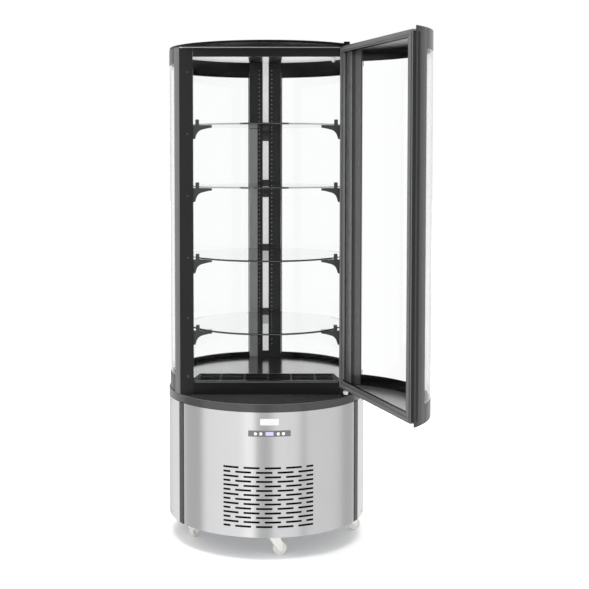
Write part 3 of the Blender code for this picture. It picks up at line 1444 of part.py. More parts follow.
def door_glass(hinge):
    outer = SHELL_OUTER_RADIUS - DOOR_GLASS_INSET
    inner = SHELL_INNER_RADIUS + DOOR_GLASS_INSET
    angle = STILE_ANGLE - GAP / SHELL_OUTER_RADIUS
    wall = arc_band(outer, inner, -angle, angle)
    pane = plate([wall], BOTTOM_BAND_OF_DOOR_TOP + GAP, TOP_BAND_BOTTOM - GAP)
    door_piece(pane, "door_glass", GLASS, hinge)


def lower_hinge_pin(axis):
    """The pale bush on the deck that the door rests on, with the pin it turns about."""
    low = DECK_TOP + GAP
    bush_top = RING_BOTTOM - GAP
    step_top = DOOR_FLOOR_BOTTOM - GAP
    profile = (
        (0.0, PIVOT_PIN_TOP),
        (PIVOT_PIN_RADIUS, PIVOT_PIN_TOP),
        (PIVOT_PIN_RADIUS, step_top),
        (PIVOT_STEP_RADIUS, step_top),
        (PIVOT_STEP_RADIUS, bush_top),
        (PIVOT_BUSH_RADIUS, bush_top),
        (PIVOT_BUSH_RADIUS, low),
        (0.0, low),
    )
    pin = turned(profile, steps=SMALL_STEPS, closed=False)
    finish(moved(pin, PIVOT_X, PIVOT_Y), "lower_hinge_pin", WHITE, axis)


def build():
    axis = empty("case_axis", (AXIS_X, AXIS_Y, 0.0))
    hinge = empty("door_hinge", (PIVOT_X, PIVOT_Y, 0.0), axis, DOOR_OPEN)
    for make in (
        base_pan,
        front_panel,
        rear_panel,
        trims,
        deck,
        control_module,
        buttons,
        badge_plate,
        compressor,
        condenser,
        condenser_fan,
        evaporator_well,
        evaporator,
        casters,
        posts,
        header_and_sill,
        bottom_band,
        top_band,
        ceiling,
        top_cap,
        glass_panes,
        rear_column,
        light_strip,
        bracket_rails,
        shelves,
        floor_plate,
        air_grille,
        lower_hinge_pin,
    ):
        make(axis)
    for make in (door_frame, door_gasket, door_rails, door_stiles, door_glass):
        make(hinge)
    for cutter in CUTTERS.objects:
        if cutter.parent is None:
            cutter.parent = axis
    for piece in PARTS.objects:
        if piece.type == "MESH":
            piece.data.shade_smooth()
            piece.data.set_sharp_from_angle(angle=2.0 * math.pi / 9.0)


build()
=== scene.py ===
"""A round glazed display case for chilled goods with its door open, dressed for rendering."""

import json
import logging
import math
from collections.abc import Callable, Iterable, Sequence
from dataclasses import dataclass, field
from enum import Enum
from typing import Any, ClassVar

import bpy
from mathutils import Matrix, Vector

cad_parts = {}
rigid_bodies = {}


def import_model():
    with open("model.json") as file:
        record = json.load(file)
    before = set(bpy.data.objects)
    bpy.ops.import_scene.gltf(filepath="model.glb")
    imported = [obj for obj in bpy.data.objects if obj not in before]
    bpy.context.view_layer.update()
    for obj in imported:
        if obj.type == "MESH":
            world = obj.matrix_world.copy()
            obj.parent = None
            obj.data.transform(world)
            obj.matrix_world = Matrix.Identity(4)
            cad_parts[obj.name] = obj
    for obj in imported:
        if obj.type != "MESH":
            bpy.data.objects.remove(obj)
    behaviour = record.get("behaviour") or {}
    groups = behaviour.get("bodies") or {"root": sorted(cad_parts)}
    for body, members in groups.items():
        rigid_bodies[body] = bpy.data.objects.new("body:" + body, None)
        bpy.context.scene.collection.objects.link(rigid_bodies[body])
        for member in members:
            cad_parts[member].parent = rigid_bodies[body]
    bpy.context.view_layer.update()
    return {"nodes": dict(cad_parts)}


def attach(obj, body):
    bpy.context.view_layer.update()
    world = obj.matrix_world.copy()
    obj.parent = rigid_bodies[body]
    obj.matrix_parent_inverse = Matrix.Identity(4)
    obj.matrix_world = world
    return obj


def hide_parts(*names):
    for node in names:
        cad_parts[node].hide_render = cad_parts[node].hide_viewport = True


LOG = logging.getLogger("display_case")

Point2 = tuple[float, float]
Point3 = tuple[float, float, float]
Colour = tuple[float, float, float]
Piece = bpy.types.Object
Socket = bpy.types.NodeSocket
Tree = bpy.types.NodeTree

TURN = 2.0 * math.pi
HALF_TURN = math.pi
QUARTER_TURN = math.pi / 2.0
ARC_STEP = math.radians(1.5)
BAND_STEP = math.radians(1.2)
PANEL_STEP = math.radians(1.0)
STRIP_STEP = math.radians(0.8)
POST_STEP = math.radians(0.7)
ROUND_SIDES = 240
SMALL_SIDES = 48
SMOOTH_ANGLE = math.radians(32.0)
SHARP_ANGLE = math.radians(35.0)
FLAT_ANGLE = math.radians(0.5)
MERGE = 1e-6
COPY_MERGE = 1e-5
NEAR_ANGLE = 1e-4
PLAY = 0.0003
BEYOND = 0.01

AXIS_X = -0.0798020
AXIS_Y = 0.1973999
DRUM_RADIUS = 0.340
DRUM_BOTTOM = 0.075
DRUM_TOP = 0.485
DECK_TOP = 0.511
CASE_BOTTOM = 0.5113
CASE_TOP = 1.6697
CAP_BOTTOM = 1.670
DOOR_PLANE_Y = -0.180
HALF_OPENING = math.sqrt(DRUM_RADIUS**2 - DOOR_PLANE_Y**2)
FACE_INNER_X = HALF_OPENING - 0.044
POST_FRONT_ANGLE = math.atan2(HALF_OPENING, -DOOR_PLANE_Y)
POST_SIDE_ANGLE = POST_FRONT_ANGLE + 0.042 / DRUM_RADIUS
BAND_RADIUS = 0.3355
GROOVE_RADIUS = 0.3168
CEILING_BOTTOM = 1.6565
POST_BACK_Y = -GROOVE_RADIUS * math.cos(POST_SIDE_ANGLE)
COLUMN_LEFT = -0.0638
COLUMN_RIGHT = 0.0541
COLUMN_FRONT = 0.300
RAIL_X = -0.0035
SHELF_MIDDLES = tuple(DECK_TOP + share * 1.159 for share in (0.1864, 0.3934, 0.5997, 0.7800))
SHELF_THICKNESS = 0.006
PIVOT_X = HALF_OPENING - 0.025
PIVOT_Y = DOOR_PLANE_Y - 0.023
DOOR_OPEN = math.radians(107.6)
SHELL_RADIUS = 0.350


def shift(x: float, y: float, z: float = 0.0) -> Matrix:
    """A plain move."""
    return Matrix.Translation((x, y, z))


AT_AXIS = shift(AXIS_X, AXIS_Y)
AT_PIVOT = shift(PIVOT_X, PIVOT_Y)
AT_DOOR = AT_AXIS @ AT_PIVOT @ Matrix.Rotation(DOOR_OPEN, 4, "Z") @ shift(-PIVOT_X, -PIVOT_Y)
IN_PLACE = Matrix.Identity(4)


class Facing(Enum):
    """The plane that an outline is drawn in."""

    UP = "up"
    FRONT = "front"
    SIDE = "side"

    def corner(self, first: float, second: float, depth: float) -> Point3:
        """A point of an outline in this plane, at a depth across it."""
        if self is Facing.UP:
            return (first, second, depth)
        if self is Facing.FRONT:
            return (first, depth, second)
        return (depth, first, second)


class Cut(Enum):
    """How one mesh changes another."""

    AWAY = "DIFFERENCE"
    TOGETHER = "UNION"


def settle() -> None:
    """Leave edit mode with nothing selected."""
    active = bpy.context.view_layer.objects.active
    if active is not None and active.mode != "OBJECT":
        bpy.ops.object.mode_set(mode="OBJECT")
    bpy.ops.object.select_all(action="DESELECT")


def take(thing: Piece) -> Piece:
    """Select one object alone and make it the active one."""
    settle()
    thing.select_set(True)
    bpy.context.view_layer.objects.active = thing
    return thing


def edit_all(thing: Piece) -> None:
    """Open a mesh for editing with all of it selected."""
    take(thing)
    bpy.ops.object.mode_set(mode="EDIT")
    bpy.ops.mesh.select_mode(type="VERT")
    bpy.ops.mesh.select_all(action="SELECT")


def named(thing: Piece, name: str) -> Piece:
    """Give an object and its data one name."""
    thing.name = name
    thing.data.name = name
    return thing


def linked(name: str, data: bpy.types.ID) -> Piece:
    """A new object in the scene."""
    thing = bpy.data.objects.new(name, data)
    bpy.context.scene.collection.objects.link(thing)
    return thing


def on_drum(radius: float, angle: float, height: float = 0.0) -> Point3:
    """A point about the axis, at an angle from the front."""
    return (radius * math.sin(angle), -radius * math.cos(angle), height)


def arc(radius: float, start: float, end: float, step: float = ARC_STEP) -> list[Point2]:
    """Points along a circle about the axis.

    Args:
        radius: the circle's radius.
        start: the first angle from the front.
        end: the last angle, on either side of the first.
        step: the widest angle between two points.

    Returns:
        The points, both ends among them.
    """
    count = max(1, math.ceil(abs(end - start) / step))
    angles = [start + (end - start) * index / count for index in range(count + 1)]
    return [on_drum(radius, angle)[:2] for angle in angles]


def outlined(name: str, points: Sequence[Point3], closed: bool = True) -> Piece:
    """Draw a line of edges from one point to the next, and fill it where it closes.

    Args:
        name: the new object's name.
        points: the corners, in order.
        closed: whether the line is closed and filled.

    Returns:
        The object, still open for editing with all of it selected.
    """
    settle()
    bpy.ops.mesh.primitive_plane_add(size=0.01, location=(0.0, 0.0, 0.0))
    thing = named(bpy.context.active_object, name)
    edit_all(thing)
    bpy.ops.mesh.merge(type="CENTER")
    bpy.ops.transform.translate(value=points[0])
    for here, there in zip(points, points[1:]):
        step = Vector(there) - Vector(here)
        bpy.ops.mesh.extrude_region_move(TRANSFORM_OT_translate={"value": step})
    bpy.ops.mesh.select_all(action="SELECT")
    if closed:
        bpy.ops.mesh.edge_face_add()
    return thing


def even_out(thing: Piece) -> Piece:
    """Merge what lies twice in an open mesh, turn its faces outward and close it."""
    bpy.ops.mesh.select_all(action="SELECT")
    bpy.ops.mesh.remove_doubles(threshold=MERGE)
    bpy.ops.mesh.normals_make_consistent(inside=False)
    settle()
    return thing


def prism(
    name: str, points: Sequence[Point2], low: float, high: float, facing: Facing = Facing.UP
) -> Piece:
    """Make an outline thick between two levels.

    Args:
        name: the new object's name.
        points: the outline's corners.
        low: the first level, along the axis that the outline faces.
        high: the second level.
        facing: the plane of the outline.

    Returns:
        The closed mesh.
    """
    thing = outlined(name, [facing.corner(*point, low) for point in points])
    reach = facing.corner(0.0, 0.0, high - low)
    bpy.ops.mesh.extrude_region_move(TRANSFORM_OT_translate={"value": reach})
    return even_out(thing)


def spun(
    name: str,
    profile: Sequence[Point2],
    start: float = 0.0,
    end: float = TURN,
    step: float = ARC_STEP,
    closed: bool = True,
) -> Piece:
    """Spin a profile of radius and height about the axis.

    Args:
        name: the new object's name.
        profile: the corners as radius and height.
        start: the angle from the front at which the profile stands.
        end: the angle at which the spin stops.
        step: the angle of one facet.
        closed: False for a profile that starts and ends on the axis.

    Returns:
        The closed mesh.
    """
    thing = outlined(name, [on_drum(radius, start, height) for radius, height in profile], closed)
    if closed and end - start > TURN - MERGE:
        bpy.ops.mesh.delete(type="ONLY_FACE")
        bpy.ops.mesh.select_all(action="SELECT")
    bpy.ops.mesh.spin(
        steps=max(2, round((end - start) / step)),
        angle=start - end,
        center=(0.0, 0.0, 0.0),
        axis=(0.0, 0.0, 1.0),
        use_auto_merge=True,
    )
    return even_out(thing)


def turned(name: str, profile: Sequence[Point2], sides: int = SMALL_SIDES) -> Piece:
    """A solid of revolution, whose profile starts and ends on the axis."""
    return spun(name, profile, step=TURN / sides, closed=False)


def hoop(
    name: str,
    radii: Point2,
    heights: Point2,
    start: float = 0.0,
    end: float = TURN,
    step: float = ARC_STEP,
) -> Piece:
    """A curved wall about the axis.

    Args:
        name: the new object's name.
        radii: its inner and outer radius.
        heights: its lowest and highest level.
        start: the angle from the front at which it starts.
        end: the angle at which it ends.
        step: the angle of one facet.

    Returns:
        The closed mesh.
    """
    (inner, outer), (low, high) = radii, heights
    profile = [(inner, low), (outer, low), (outer, high), (inner, high)]
    return spun(name, profile, start, end, step)


def block(name: str, low: Point3, high: Point3) -> Piece:
    """A block between two corners, to cut with or to bevel."""
    (x0, y0, z0), (x1, y1, z1) = low, high
    return prism(name, [(x0, y0), (x1, y0), (x1, y1), (x0, y1)], z0, z1)


def rod(name: str, radius: float, low: float, high: float, sides: int = 32) -> Piece:
    """An upright rod about the origin between two levels."""
    settle()
    middle = (0.0, 0.0, (low + high) / 2.0)
    bpy.ops.mesh.primitive_cylinder_add(
        vertices=sides, radius=radius, depth=high - low, location=middle
    )
    return moved(named(bpy.context.active_object, name), IN_PLACE)


def moved(thing: Piece, place: Matrix) -> Piece:
    """Put a mesh somewhere else and apply the move to it."""
    take(thing)
    thing.matrix_world = place @ thing.matrix_world
    bpy.ops.object.transform_apply(location=True, rotation=True, scale=True)
    return thing


def copied(thing: Piece, name: str, place: Matrix = IN_PLACE) -> Piece:
    """A copy with its own mesh, moved to its place."""
    twin = linked(name, thing.data.copy())
    twin.data.name = name
    return moved(twin, place)


def drop(*things: Piece) -> None:
    """Remove objects that are no longer needed."""
    for thing in things:
        bpy.data.objects.remove(thing, do_unlink=True)


def merged(things: Sequence[Piece], name: str) -> Piece:
    """Several meshes as one object."""
    take(things[0])
    for thing in things:
        thing.select_set(True)
    if len(things) > 1:
        bpy.ops.object.join()
    return named(things[0], name)


def arrayed(thing: Piece, count: int, step: Point3) -> Piece:
    """Repeat a mesh along a line."""
    rows = thing.modifiers.new("rows", "ARRAY")
    rows.count = count
    rows.use_relative_offset = False
    rows.use_constant_offset = True
    rows.constant_offset_displace = step
    take(thing)
    bpy.ops.object.modifier_apply(modifier="rows")
    return thing


def changed(thing: Piece, tool: Piece, how: Cut = Cut.AWAY) -> Piece:
    """Cut one mesh with another, or join them, and drop the tool.

    Args:
        thing: the mesh that changes.
        tool: the mesh that it is changed with.
        how: what is done.

    Returns:
        The changed mesh.
    """
    modifier = thing.modifiers.new("change", "BOOLEAN")
    modifier.operation = how.value
    modifier.solver = "EXACT"
    modifier.object = tool
    take(thing)
    bpy.ops.object.modifier_apply(modifier="change")
    drop(tool)
    return thing


def eased(
    thing: Piece,
    width: float,
    segments: int = 2,
    test: Callable[[Vector, Vector], bool] | None = None,
) -> Piece:
    """Round the sharp edges of a mesh.

    Args:
        thing: the mesh.
        width: the width of the rounding.
        segments: the number of faces across it.
        test: picks the edges by their two ends; without it every sharp edge is taken.

    Returns:
        The same mesh.
    """
    edit_all(thing)
    bpy.ops.mesh.select_mode(type="EDGE")
    bpy.ops.mesh.select_all(action="DESELECT")
    if test is None:
        bpy.ops.mesh.edges_select_sharp(sharpness=SHARP_ANGLE)
    else:
        bpy.ops.object.mode_set(mode="OBJECT")
        places = [vertex.co for vertex in thing.data.vertices]
        for edge in thing.data.edges:
            first, second = edge.vertices
            edge.select = test(places[first], places[second])
        bpy.ops.object.mode_set(mode="EDIT")
    bpy.ops.mesh.bevel(offset=width, segments=segments, affect="EDGES", clamp_overlap=True)
    return even_out(thing)


def radial_place(angle: float, radius: float, height: float) -> Matrix:
    """A place on the drum whose Z axis points outward."""
    outward = Vector(on_drum(1.0, angle))
    turn = outward.to_track_quat("Z", "Y").to_matrix().to_4x4()
    return Matrix.Translation(outward * radius + Vector((0.0, 0.0, height))) @ turn


def facing_place(x: float, y: float, z: float) -> Matrix:
    """A place whose Z axis points to the front."""
    return shift(x, y, z) @ Matrix.Rotation(QUARTER_TURN, 4, "X")


def fill(node: bpy.types.Node, values: dict[str | int, Any]) -> None:
    """Set the inputs of a node by their names or numbers."""
    for key, value in values.items():
        node.inputs[key].default_value = value


class Graph:
    """A node tree with short ways to add nodes and to wire them."""

    MIX_A = 6
    MIX_B = 7
    MIX_RESULT = 2

    def __init__(self, tree: Tree) -> None:
        """Keep the tree."""
        self.tree = tree

    def add(
        self, kind: str, values: dict[str | int, Any] | None = None, **settings: Any
    ) -> bpy.types.Node:
        """Add a node.

        Args:
            kind: its type, without the words that every shader node's type starts with.
            values: the values of its inputs.
            settings: its own settings.

        Returns:
            The node.
        """
        node = self.tree.nodes.new(f"ShaderNode{kind}")
        for name, setting in settings.items():
            setattr(node, name, setting)
        fill(node, values or {})
        return node

    def wire(self, *pairs: tuple[Socket, Socket]) -> None:
        """Link outputs to inputs."""
        for source, target in pairs:
            self.tree.links.new(source, target)

    def mixed(self, factor: Socket, first: Socket | Colour, second: Colour) -> Socket:
        """Mix two colours.

        Args:
            factor: the share of the second.
            first: a colour, or the output that gives it.
            second: the other colour.

        Returns:
            The mixed colour.
        """
        mix = self.add("Mix", data_type="RGBA")
        fill(mix, {self.MIX_B: (*second, 1.0)})
        if isinstance(first, tuple):
            fill(mix, {self.MIX_A: (*first, 1.0)})
        else:
            self.wire((first, mix.inputs[self.MIX_A]))
        self.wire((factor, mix.inputs["Factor"]))
        return mix.outputs[self.MIX_RESULT]


class SurfaceGroups:
    """The node groups that several finishes share, each built once."""

    def __init__(self) -> None:
        """Build the groups."""
        self.grain = self._grain()
        self.wear = self._mask("edge_wear", self._edges, 60.0, 4.0)
        self.dust = self._mask("settled_dust", self._upward, 18.0, 6.0)

    @staticmethod
    def _new(name: str, inputs: dict[str, str], outputs: Iterable[str]) -> Graph:
        """An empty group with its sockets."""
        tree = bpy.data.node_groups.new(name, "ShaderNodeTree")
        for label, kind in inputs.items():
            tree.interface.new_socket(
                name=label, in_out="INPUT", socket_type=f"NodeSocket{kind}"
            )
        for label in outputs:
            tree.interface.new_socket(name=label, in_out="OUTPUT", socket_type="NodeSocketFloat")
        tree.nodes.new("NodeGroupInput").name = "in"
        tree.nodes.new("NodeGroupOutput").name = "out"
        return Graph(tree)

    def _grain(self) -> Tree:
        """Fine grain along one direction, and a slow cloud of the same surface."""
        inputs = {"Vector": "Vector", "Stretch": "Vector", "Scale": "Float"}
        graph = self._new("surface_grain", inputs, ("Fine", "Cloud"))
        given, out = graph.tree.nodes["in"].outputs, graph.tree.nodes["out"].inputs
        stretch = graph.add("VectorMath", operation="MULTIPLY")
        fine = graph.add("TexNoise", {"Detail": 5.0, "Roughness": 0.6})
        cloud = graph.add("TexNoise", {"Scale": 7.0, "Detail": 3.0})
        graph.wire(
            (given["Vector"], stretch.inputs[0]),
            (given["Stretch"], stretch.inputs[1]),
            (stretch.outputs[0], fine.inputs["Vector"]),
            (given["Scale"], fine.inputs["Scale"]),
            (given["Vector"], cloud.inputs["Vector"]),
            (fine.outputs["Fac"], out["Fine"]),
            (cloud.outputs["Fac"], out["Cloud"]),
        )
        return graph.tree

    def _mask(
        self, name: str, source: Callable[[Graph], Socket], scale: float, detail: float
    ) -> Tree:
        """A group that breaks a source up into patches.

        Args:
            name: the group's name.
            source: adds the nodes that say where the patches may lie.
            scale: the scale of the patches.
            detail: their detail.

        Returns:
            The group, which takes a place and an amount and gives a mask.
        """
        graph = self._new(name, {"Vector": "Vector", "Amount": "Float"}, ("Mask",))
        given, out = graph.tree.nodes["in"].outputs, graph.tree.nodes["out"].inputs
        patches = graph.add("TexNoise", {"Scale": scale, "Detail": detail})
        broken = graph.add("Math", operation="MULTIPLY")
        amount = graph.add("Math", operation="MULTIPLY", use_clamp=True)
        graph.wire(
            (given["Vector"], patches.inputs["Vector"]),
            (source(graph), broken.inputs[0]),
            (patches.outputs["Fac"], broken.inputs[1]),
            (broken.outputs[0], amount.inputs[0]),
            (given["Amount"], amount.inputs[1]),
            (amount.outputs[0], out["Mask"]),
        )
        return graph.tree

    @staticmethod
    def _edges(graph: Graph) -> Socket:
        """The outer edges, which hands and cloths rub."""
        shape = graph.add("NewGeometry")
        edge = graph.add("MapRange", {"From Min": 0.52, "From Max": 0.60})
        graph.wire((shape.outputs["Pointiness"], edge.inputs["Value"]))
        return edge.outputs["Result"]

    @staticmethod
    def _upward(graph: Graph) -> Socket:
        """What faces up, where dust settles."""
        shape = graph.add("NewGeometry")
        parts = graph.add("SeparateXYZ")
        graph.wire((shape.outputs["Normal"], parts.inputs[0]))
        return parts.outputs["Z"]


class Paint(Graph):
    """A new material, with its shader and the shared grain on Object coordinates."""

    def __init__(self, name: str, groups: SurfaceGroups, scale: float, stretch: Point3) -> None:
        """Open the material.

        Args:
            name: the material's name.
            groups: the shared node groups.
            scale: the scale of the grain.
            stretch: how much finer the grain is along each axis.
        """
        self.material = bpy.data.materials.new(name)
        self.material.use_nodes = True
        super().__init__(self.material.node_tree)
        self.shader = self.tree.nodes["Principled BSDF"]
        self.where = self.add("TexCoord").outputs["Object"]
        values = {"Stretch": stretch, "Scale": scale}
        self.grain = self.add("Group", values, node_tree=groups.grain)
        self.wire((self.where, self.grain.inputs["Vector"]))

    def covered(self, mask: Tree, amount: float, below: Socket, colour: Colour) -> Socket:
        """Lay a colour over another through a mask.

        Args:
            mask: the group that gives the mask.
            amount: how much of the colour shows.
            below: the colour under it.
            colour: the colour laid over.

        Returns:
            The mixed colour.
        """
        group = self.add("Group", {"Amount": amount}, node_tree=mask)
        self.wire((self.where, group.inputs["Vector"]))
        return self.mixed(group.outputs["Mask"], below, colour)


@dataclass(frozen=True)
class Finish:
    """An opaque surface with its grain, its colour variation, its wear and its glow, which is lamp
    light on the lamps and painted light on the ceiling and the rails.
    """

    name: str
    colour: Colour
    metallic: float = 0.0
    roughness: float = 0.4
    scale: float = 900.0
    stretch: Point3 = (1.0, 1.0, 1.0)
    shade: float = 0.08
    spread: float = 0.06
    bump: float = 0.00004
    bump_strength: float = 0.35
    wear: float = 0.0
    wear_colour: Colour = (0.35, 0.35, 0.36)
    dust: float = 0.0
    dust_colour: Colour = (0.42, 0.41, 0.39)
    specular: float = 0.5
    lamp_and_painted_glow: float = 0.0

    def made(self, groups: SurfaceGroups) -> bpy.types.Material:
        """Build the material.

        Args:
            groups: the shared node groups.

        Returns:
            The material.
        """
        paint = Paint(self.name, groups, self.scale, self.stretch)
        shader, fine = paint.shader, paint.grain.outputs["Fine"]
        fill(shader, {"Metallic": self.metallic, "Specular IOR Level": self.specular})
        # Emission in the surface's own colour: lamp light on the lamps, painted light on the
        # ceiling and the rails, which are no lamps.
        fill(shader, {"Emission Strength": self.lamp_and_painted_glow})
        dark = tuple(part * (1.0 - self.shade) for part in self.colour)
        pale = tuple(min(1.0, part * (1.0 + self.shade)) for part in self.colour)
        colour = paint.mixed(paint.grain.outputs["Cloud"], dark, pale)
        if self.wear:
            colour = paint.covered(groups.wear, self.wear, colour, self.wear_colour)
        if self.dust:
            colour = paint.covered(groups.dust, self.dust, colour, self.dust_colour)
        lowest, highest = self.roughness - self.spread, self.roughness + self.spread
        rough = paint.add("MapRange", {"To Min": max(0.02, lowest), "To Max": min(1.0, highest)})
        relief = paint.add("Bump", {"Strength": self.bump_strength, "Distance": self.bump})
        paint.wire(
            (colour, shader.inputs["Base Color"]),
            (colour, shader.inputs["Emission Color"]),
            (fine, rough.inputs["Value"]),
            (rough.outputs["Result"], shader.inputs["Roughness"]),
            (fine, relief.inputs["Height"]),
            (relief.outputs["Normal"], shader.inputs["Normal"]),
        )
        return paint.material


@dataclass(frozen=True)
class GlassFinish:
    """Clear glass with the faint smears that a cloth leaves."""

    name: str
    colour: Colour
    bend: float = 1.25
    shadow: float = 0.08
    smear: float = 0.004
    smear_range: Point2 = (0.45, 0.75)
    scale: float = 22.0
    stretch: Point3 = (1.0, 1.0, 0.35)

    def made(self, groups: SurfaceGroups) -> bpy.types.Material:
        """Build the material.

        Args:
            groups: the shared node groups.

        Returns:
            The material.
        """
        paint = Paint(self.name, groups, self.scale, self.stretch)
        shader = paint.shader
        fill(shader, {"Base Color": (*self.colour, 1.0), "Transmission Weight": 1.0})
        fill(shader, {"IOR": self.bend})
        low, high = self.smear_range
        rough = paint.add("MapRange", {"From Min": low, "From Max": high, "To Max": self.smear})
        keep = paint.add("MapRange", {"To Min": 1.0, "To Max": self.shadow})
        path = paint.add("LightPath")
        paint.wire(
            (paint.grain.outputs["Cloud"], rough.inputs["Value"]),
            (rough.outputs["Result"], shader.inputs["Roughness"]),
            (path.outputs["Is Shadow Ray"], keep.inputs["Value"]),
            (keep.outputs["Result"], shader.inputs["Alpha"]),
        )
        return paint.material


@dataclass(frozen=True)
class LitFinish:
    """A lens that is lit from behind."""

    name: str
    colour: Colour
    light: Colour
    strength: float
    roughness: float = 0.18
    dimmest: float = 0.8
    scale: float = 260.0

    def made(self, groups: SurfaceGroups) -> bpy.types.Material:
        """Build the material.

        Args:
            groups: the shared node groups.

        Returns:
            The material.
        """
        paint = Paint(self.name, groups, self.scale, (1.0, 1.0, 1.0))
        shader = paint.shader
        fill(shader, {"Base Color": (*self.colour, 1.0), "Emission Strength": self.strength})
        fill(shader, {"Roughness": self.roughness})
        dim = tuple(part * self.dimmest for part in self.light)
        light = paint.mixed(paint.grain.outputs["Fine"], dim, self.light)
        paint.wire((light, shader.inputs["Emission Color"]))
        return paint.material


ALONG_Z = (0.02, 0.02, 1.0)
ALONG_Y = (1.0, 0.03, 1.0)
UPRIGHT = (1.0, 1.0, 0.03)
FINISHES = (
    Finish(
        "drum_steel", (0.74, 0.74, 0.745), 1.0, 0.18, 1500.0, ALONG_Z, 0.03, 0.05, 0.00002, 0.25,
        wear=0.25, wear_colour=(0.85, 0.85, 0.86),
    ),
    Finish(
        "plate_steel", (0.29, 0.29, 0.29), 1.0, 0.15, 1300.0, ALONG_Y, 0.04, 0.05, 0.00002, 0.2,
        dust=0.03,
    ),
    Finish("deck_gloss", (0.080, 0.080, 0.082), 0.50, 0.08, dust=0.01),
    Finish("trim_black", (0.032, 0.032, 0.033), 0.3, 0.30, wear=0.4, dust=0.02),
    Finish("band_black", (0.003, 0.003, 0.0033), 0.0, 0.22, 500.0, specular=0.32),
    Finish(
        "cap_black", (0.001, 0.001, 0.0011), 0.0, 0.36, 400.0, spread=0.02, bump=0.0,
        specular=0.17,
    ),
    Finish("post_grey", (0.014, 0.014, 0.015), 0.2, 0.32, 1100.0, UPRIGHT, specular=0.35),
    # Painted sheen: the paler grey of the posts' curved sides and of the light lines on the deck
    # rim and the sill's top edge.
    Finish("side_grey", (0.150, 0.150, 0.153), 0.5, 0.30, 1100.0, UPRIGHT),
    # Painted highlight: the pale strip along the header's top edge.
    Finish("edge_grey", (0.56, 0.56, 0.565), 0.4, 0.34, 900.0),
    # Painted reflection: the ring is the same dark anodised metal as the posts, in a paler grey for
    # the light its face reflects.
    Finish("ring_grey", (0.165, 0.166, 0.169), 0.4, 0.36, 1100.0, UPRIGHT),
    # Painted reflection: paler greys on the hinge channel and the pane clamp for the light they
    # reflect.
    Finish("channel_grey", (0.36, 0.36, 0.365), 0.4, 0.28, 900.0, UPRIGHT),
    Finish("lining_grey", (0.115, 0.115, 0.117), 0.4, 0.26, 900.0, UPRIGHT),
    # Painted reflection: pale plates on the black door rails' inner faces, partly real metal
    # reflection, partly a paler colour.
    Finish("hollow_grey", (0.38, 0.38, 0.385), 0.9, 0.30, 900.0, (0.03, 1.0, 1.0), shade=0.04),
    Finish("stile_black", (0.046, 0.046, 0.048), 0.3, 0.24, 1100.0, UPRIGHT),
    Finish("sill_black", (0.008, 0.008, 0.0085), 0.0, 0.26, specular=0.22),
    Finish("grille_black", (0.003, 0.003, 0.0033), 0.0, 0.55, specular=0.12),
    # Painted shadow: black strips on the faces of the door's latch-side edge.
    Finish("seal_rubber", (0.008, 0.008, 0.008), 0.0, 0.62, 700.0, spread=0.1, dust=0.02),
    Finish("seal_grey", (0.135, 0.135, 0.137), 0.0, 0.60, 700.0, spread=0.1, dust=0.02),
    Finish("caster_ivory", (0.92, 0.91, 0.87), 0.0, 0.40, 600.0, wear=0.1, dust=0.04),
    Finish("tread_ivory", (0.84, 0.83, 0.79), 0.0, 0.55, 420.0, bump=0.0001, dust=0.06),
    Finish("white_plastic", (0.82, 0.82, 0.81), 0.0, 0.36, 700.0, shade=0.03),
    # Painted light: the white ceiling glows though it is no lamp.
    Finish("ceiling_white", (0.82, 0.82, 0.81), 0.0, 0.40, 700.0, shade=0.03, lamp_and_painted_glow=0.55),
    # Painted light: the white rails glow though they are no lamps.
    Finish("rail_white", (0.78, 0.78, 0.78), 0.0, 0.35, 700.0, shade=0.04, wear=0.1, lamp_and_painted_glow=0.36),
    Finish("bracket_black", (0.052, 0.052, 0.053), 0.4, 0.36, dust=0.02),
    Finish("column_black", (0.005, 0.005, 0.0055), 0.0, 0.34, 800.0, (1.0, 1.0, 0.05)),
    Finish("column_grey", (0.34, 0.34, 0.345), 0.3, 0.38, 900.0, (1.0, 1.0, 0.04)),
    Finish("badge_white", (0.73, 0.73, 0.72), 0.0, 0.28, 700.0, shade=0.02),
    Finish("bezel_grey", (0.17, 0.17, 0.18), 0.3, 0.38, wear=0.3),
    Finish("button_white", (0.80, 0.80, 0.80), 0.0, 0.34, 500.0, shade=0.03),
    Finish("button_ring", (0.10, 0.10, 0.105), 0.2, 0.36),
    Finish("zinc_sheet", (0.52, 0.53, 0.55), 1.0, 0.42, 70.0, shade=0.16, spread=0.14, dust=0.08),
    Finish("screw_steel", (0.50, 0.50, 0.51), 1.0, 0.32, wear=0.3),
    Finish("screw_dark", (0.080, 0.080, 0.082), 0.8, 0.34),
    Finish("fin_black", (0.018, 0.018, 0.019), 0.4, 0.45, 300.0, shade=0.15, dust=0.04),
    Finish("fin_silver", (0.66, 0.67, 0.68), 1.0, 0.36, 300.0, shade=0.10),
    Finish("pot_black", (0.010, 0.010, 0.011), 0.0, 0.42, 240.0, bump=0.0001, dust=0.10),
    Finish("moulded_black", (0.012, 0.012, 0.013), 0.0, 0.48, 500.0, dust=0.06),
    Finish("foam_grey", (0.58, 0.60, 0.62), 0.0, 0.60, 160.0, bump=0.00015, shade=0.06),
    GlassFinish("case_glass", (0.985, 0.992, 0.990), 1.20),
    GlassFinish("door_glass", (0.985, 0.992, 0.990), 1.25),
    GlassFinish("shelf_glass", (0.905, 0.915, 0.910), 1.15),
    Finish("lamp_white", (0.55, 0.55, 0.54), 0.0, 0.30, 700.0, shade=0.02, lamp_and_painted_glow=0.25),
    Finish("glass_edge", (0.085, 0.095, 0.092), 0.0, 0.20, 700.0, shade=0.1),
    LitFinish("display_lit", (0.30, 0.27, 0.55), (0.68, 0.60, 1.0), 0.70),
)


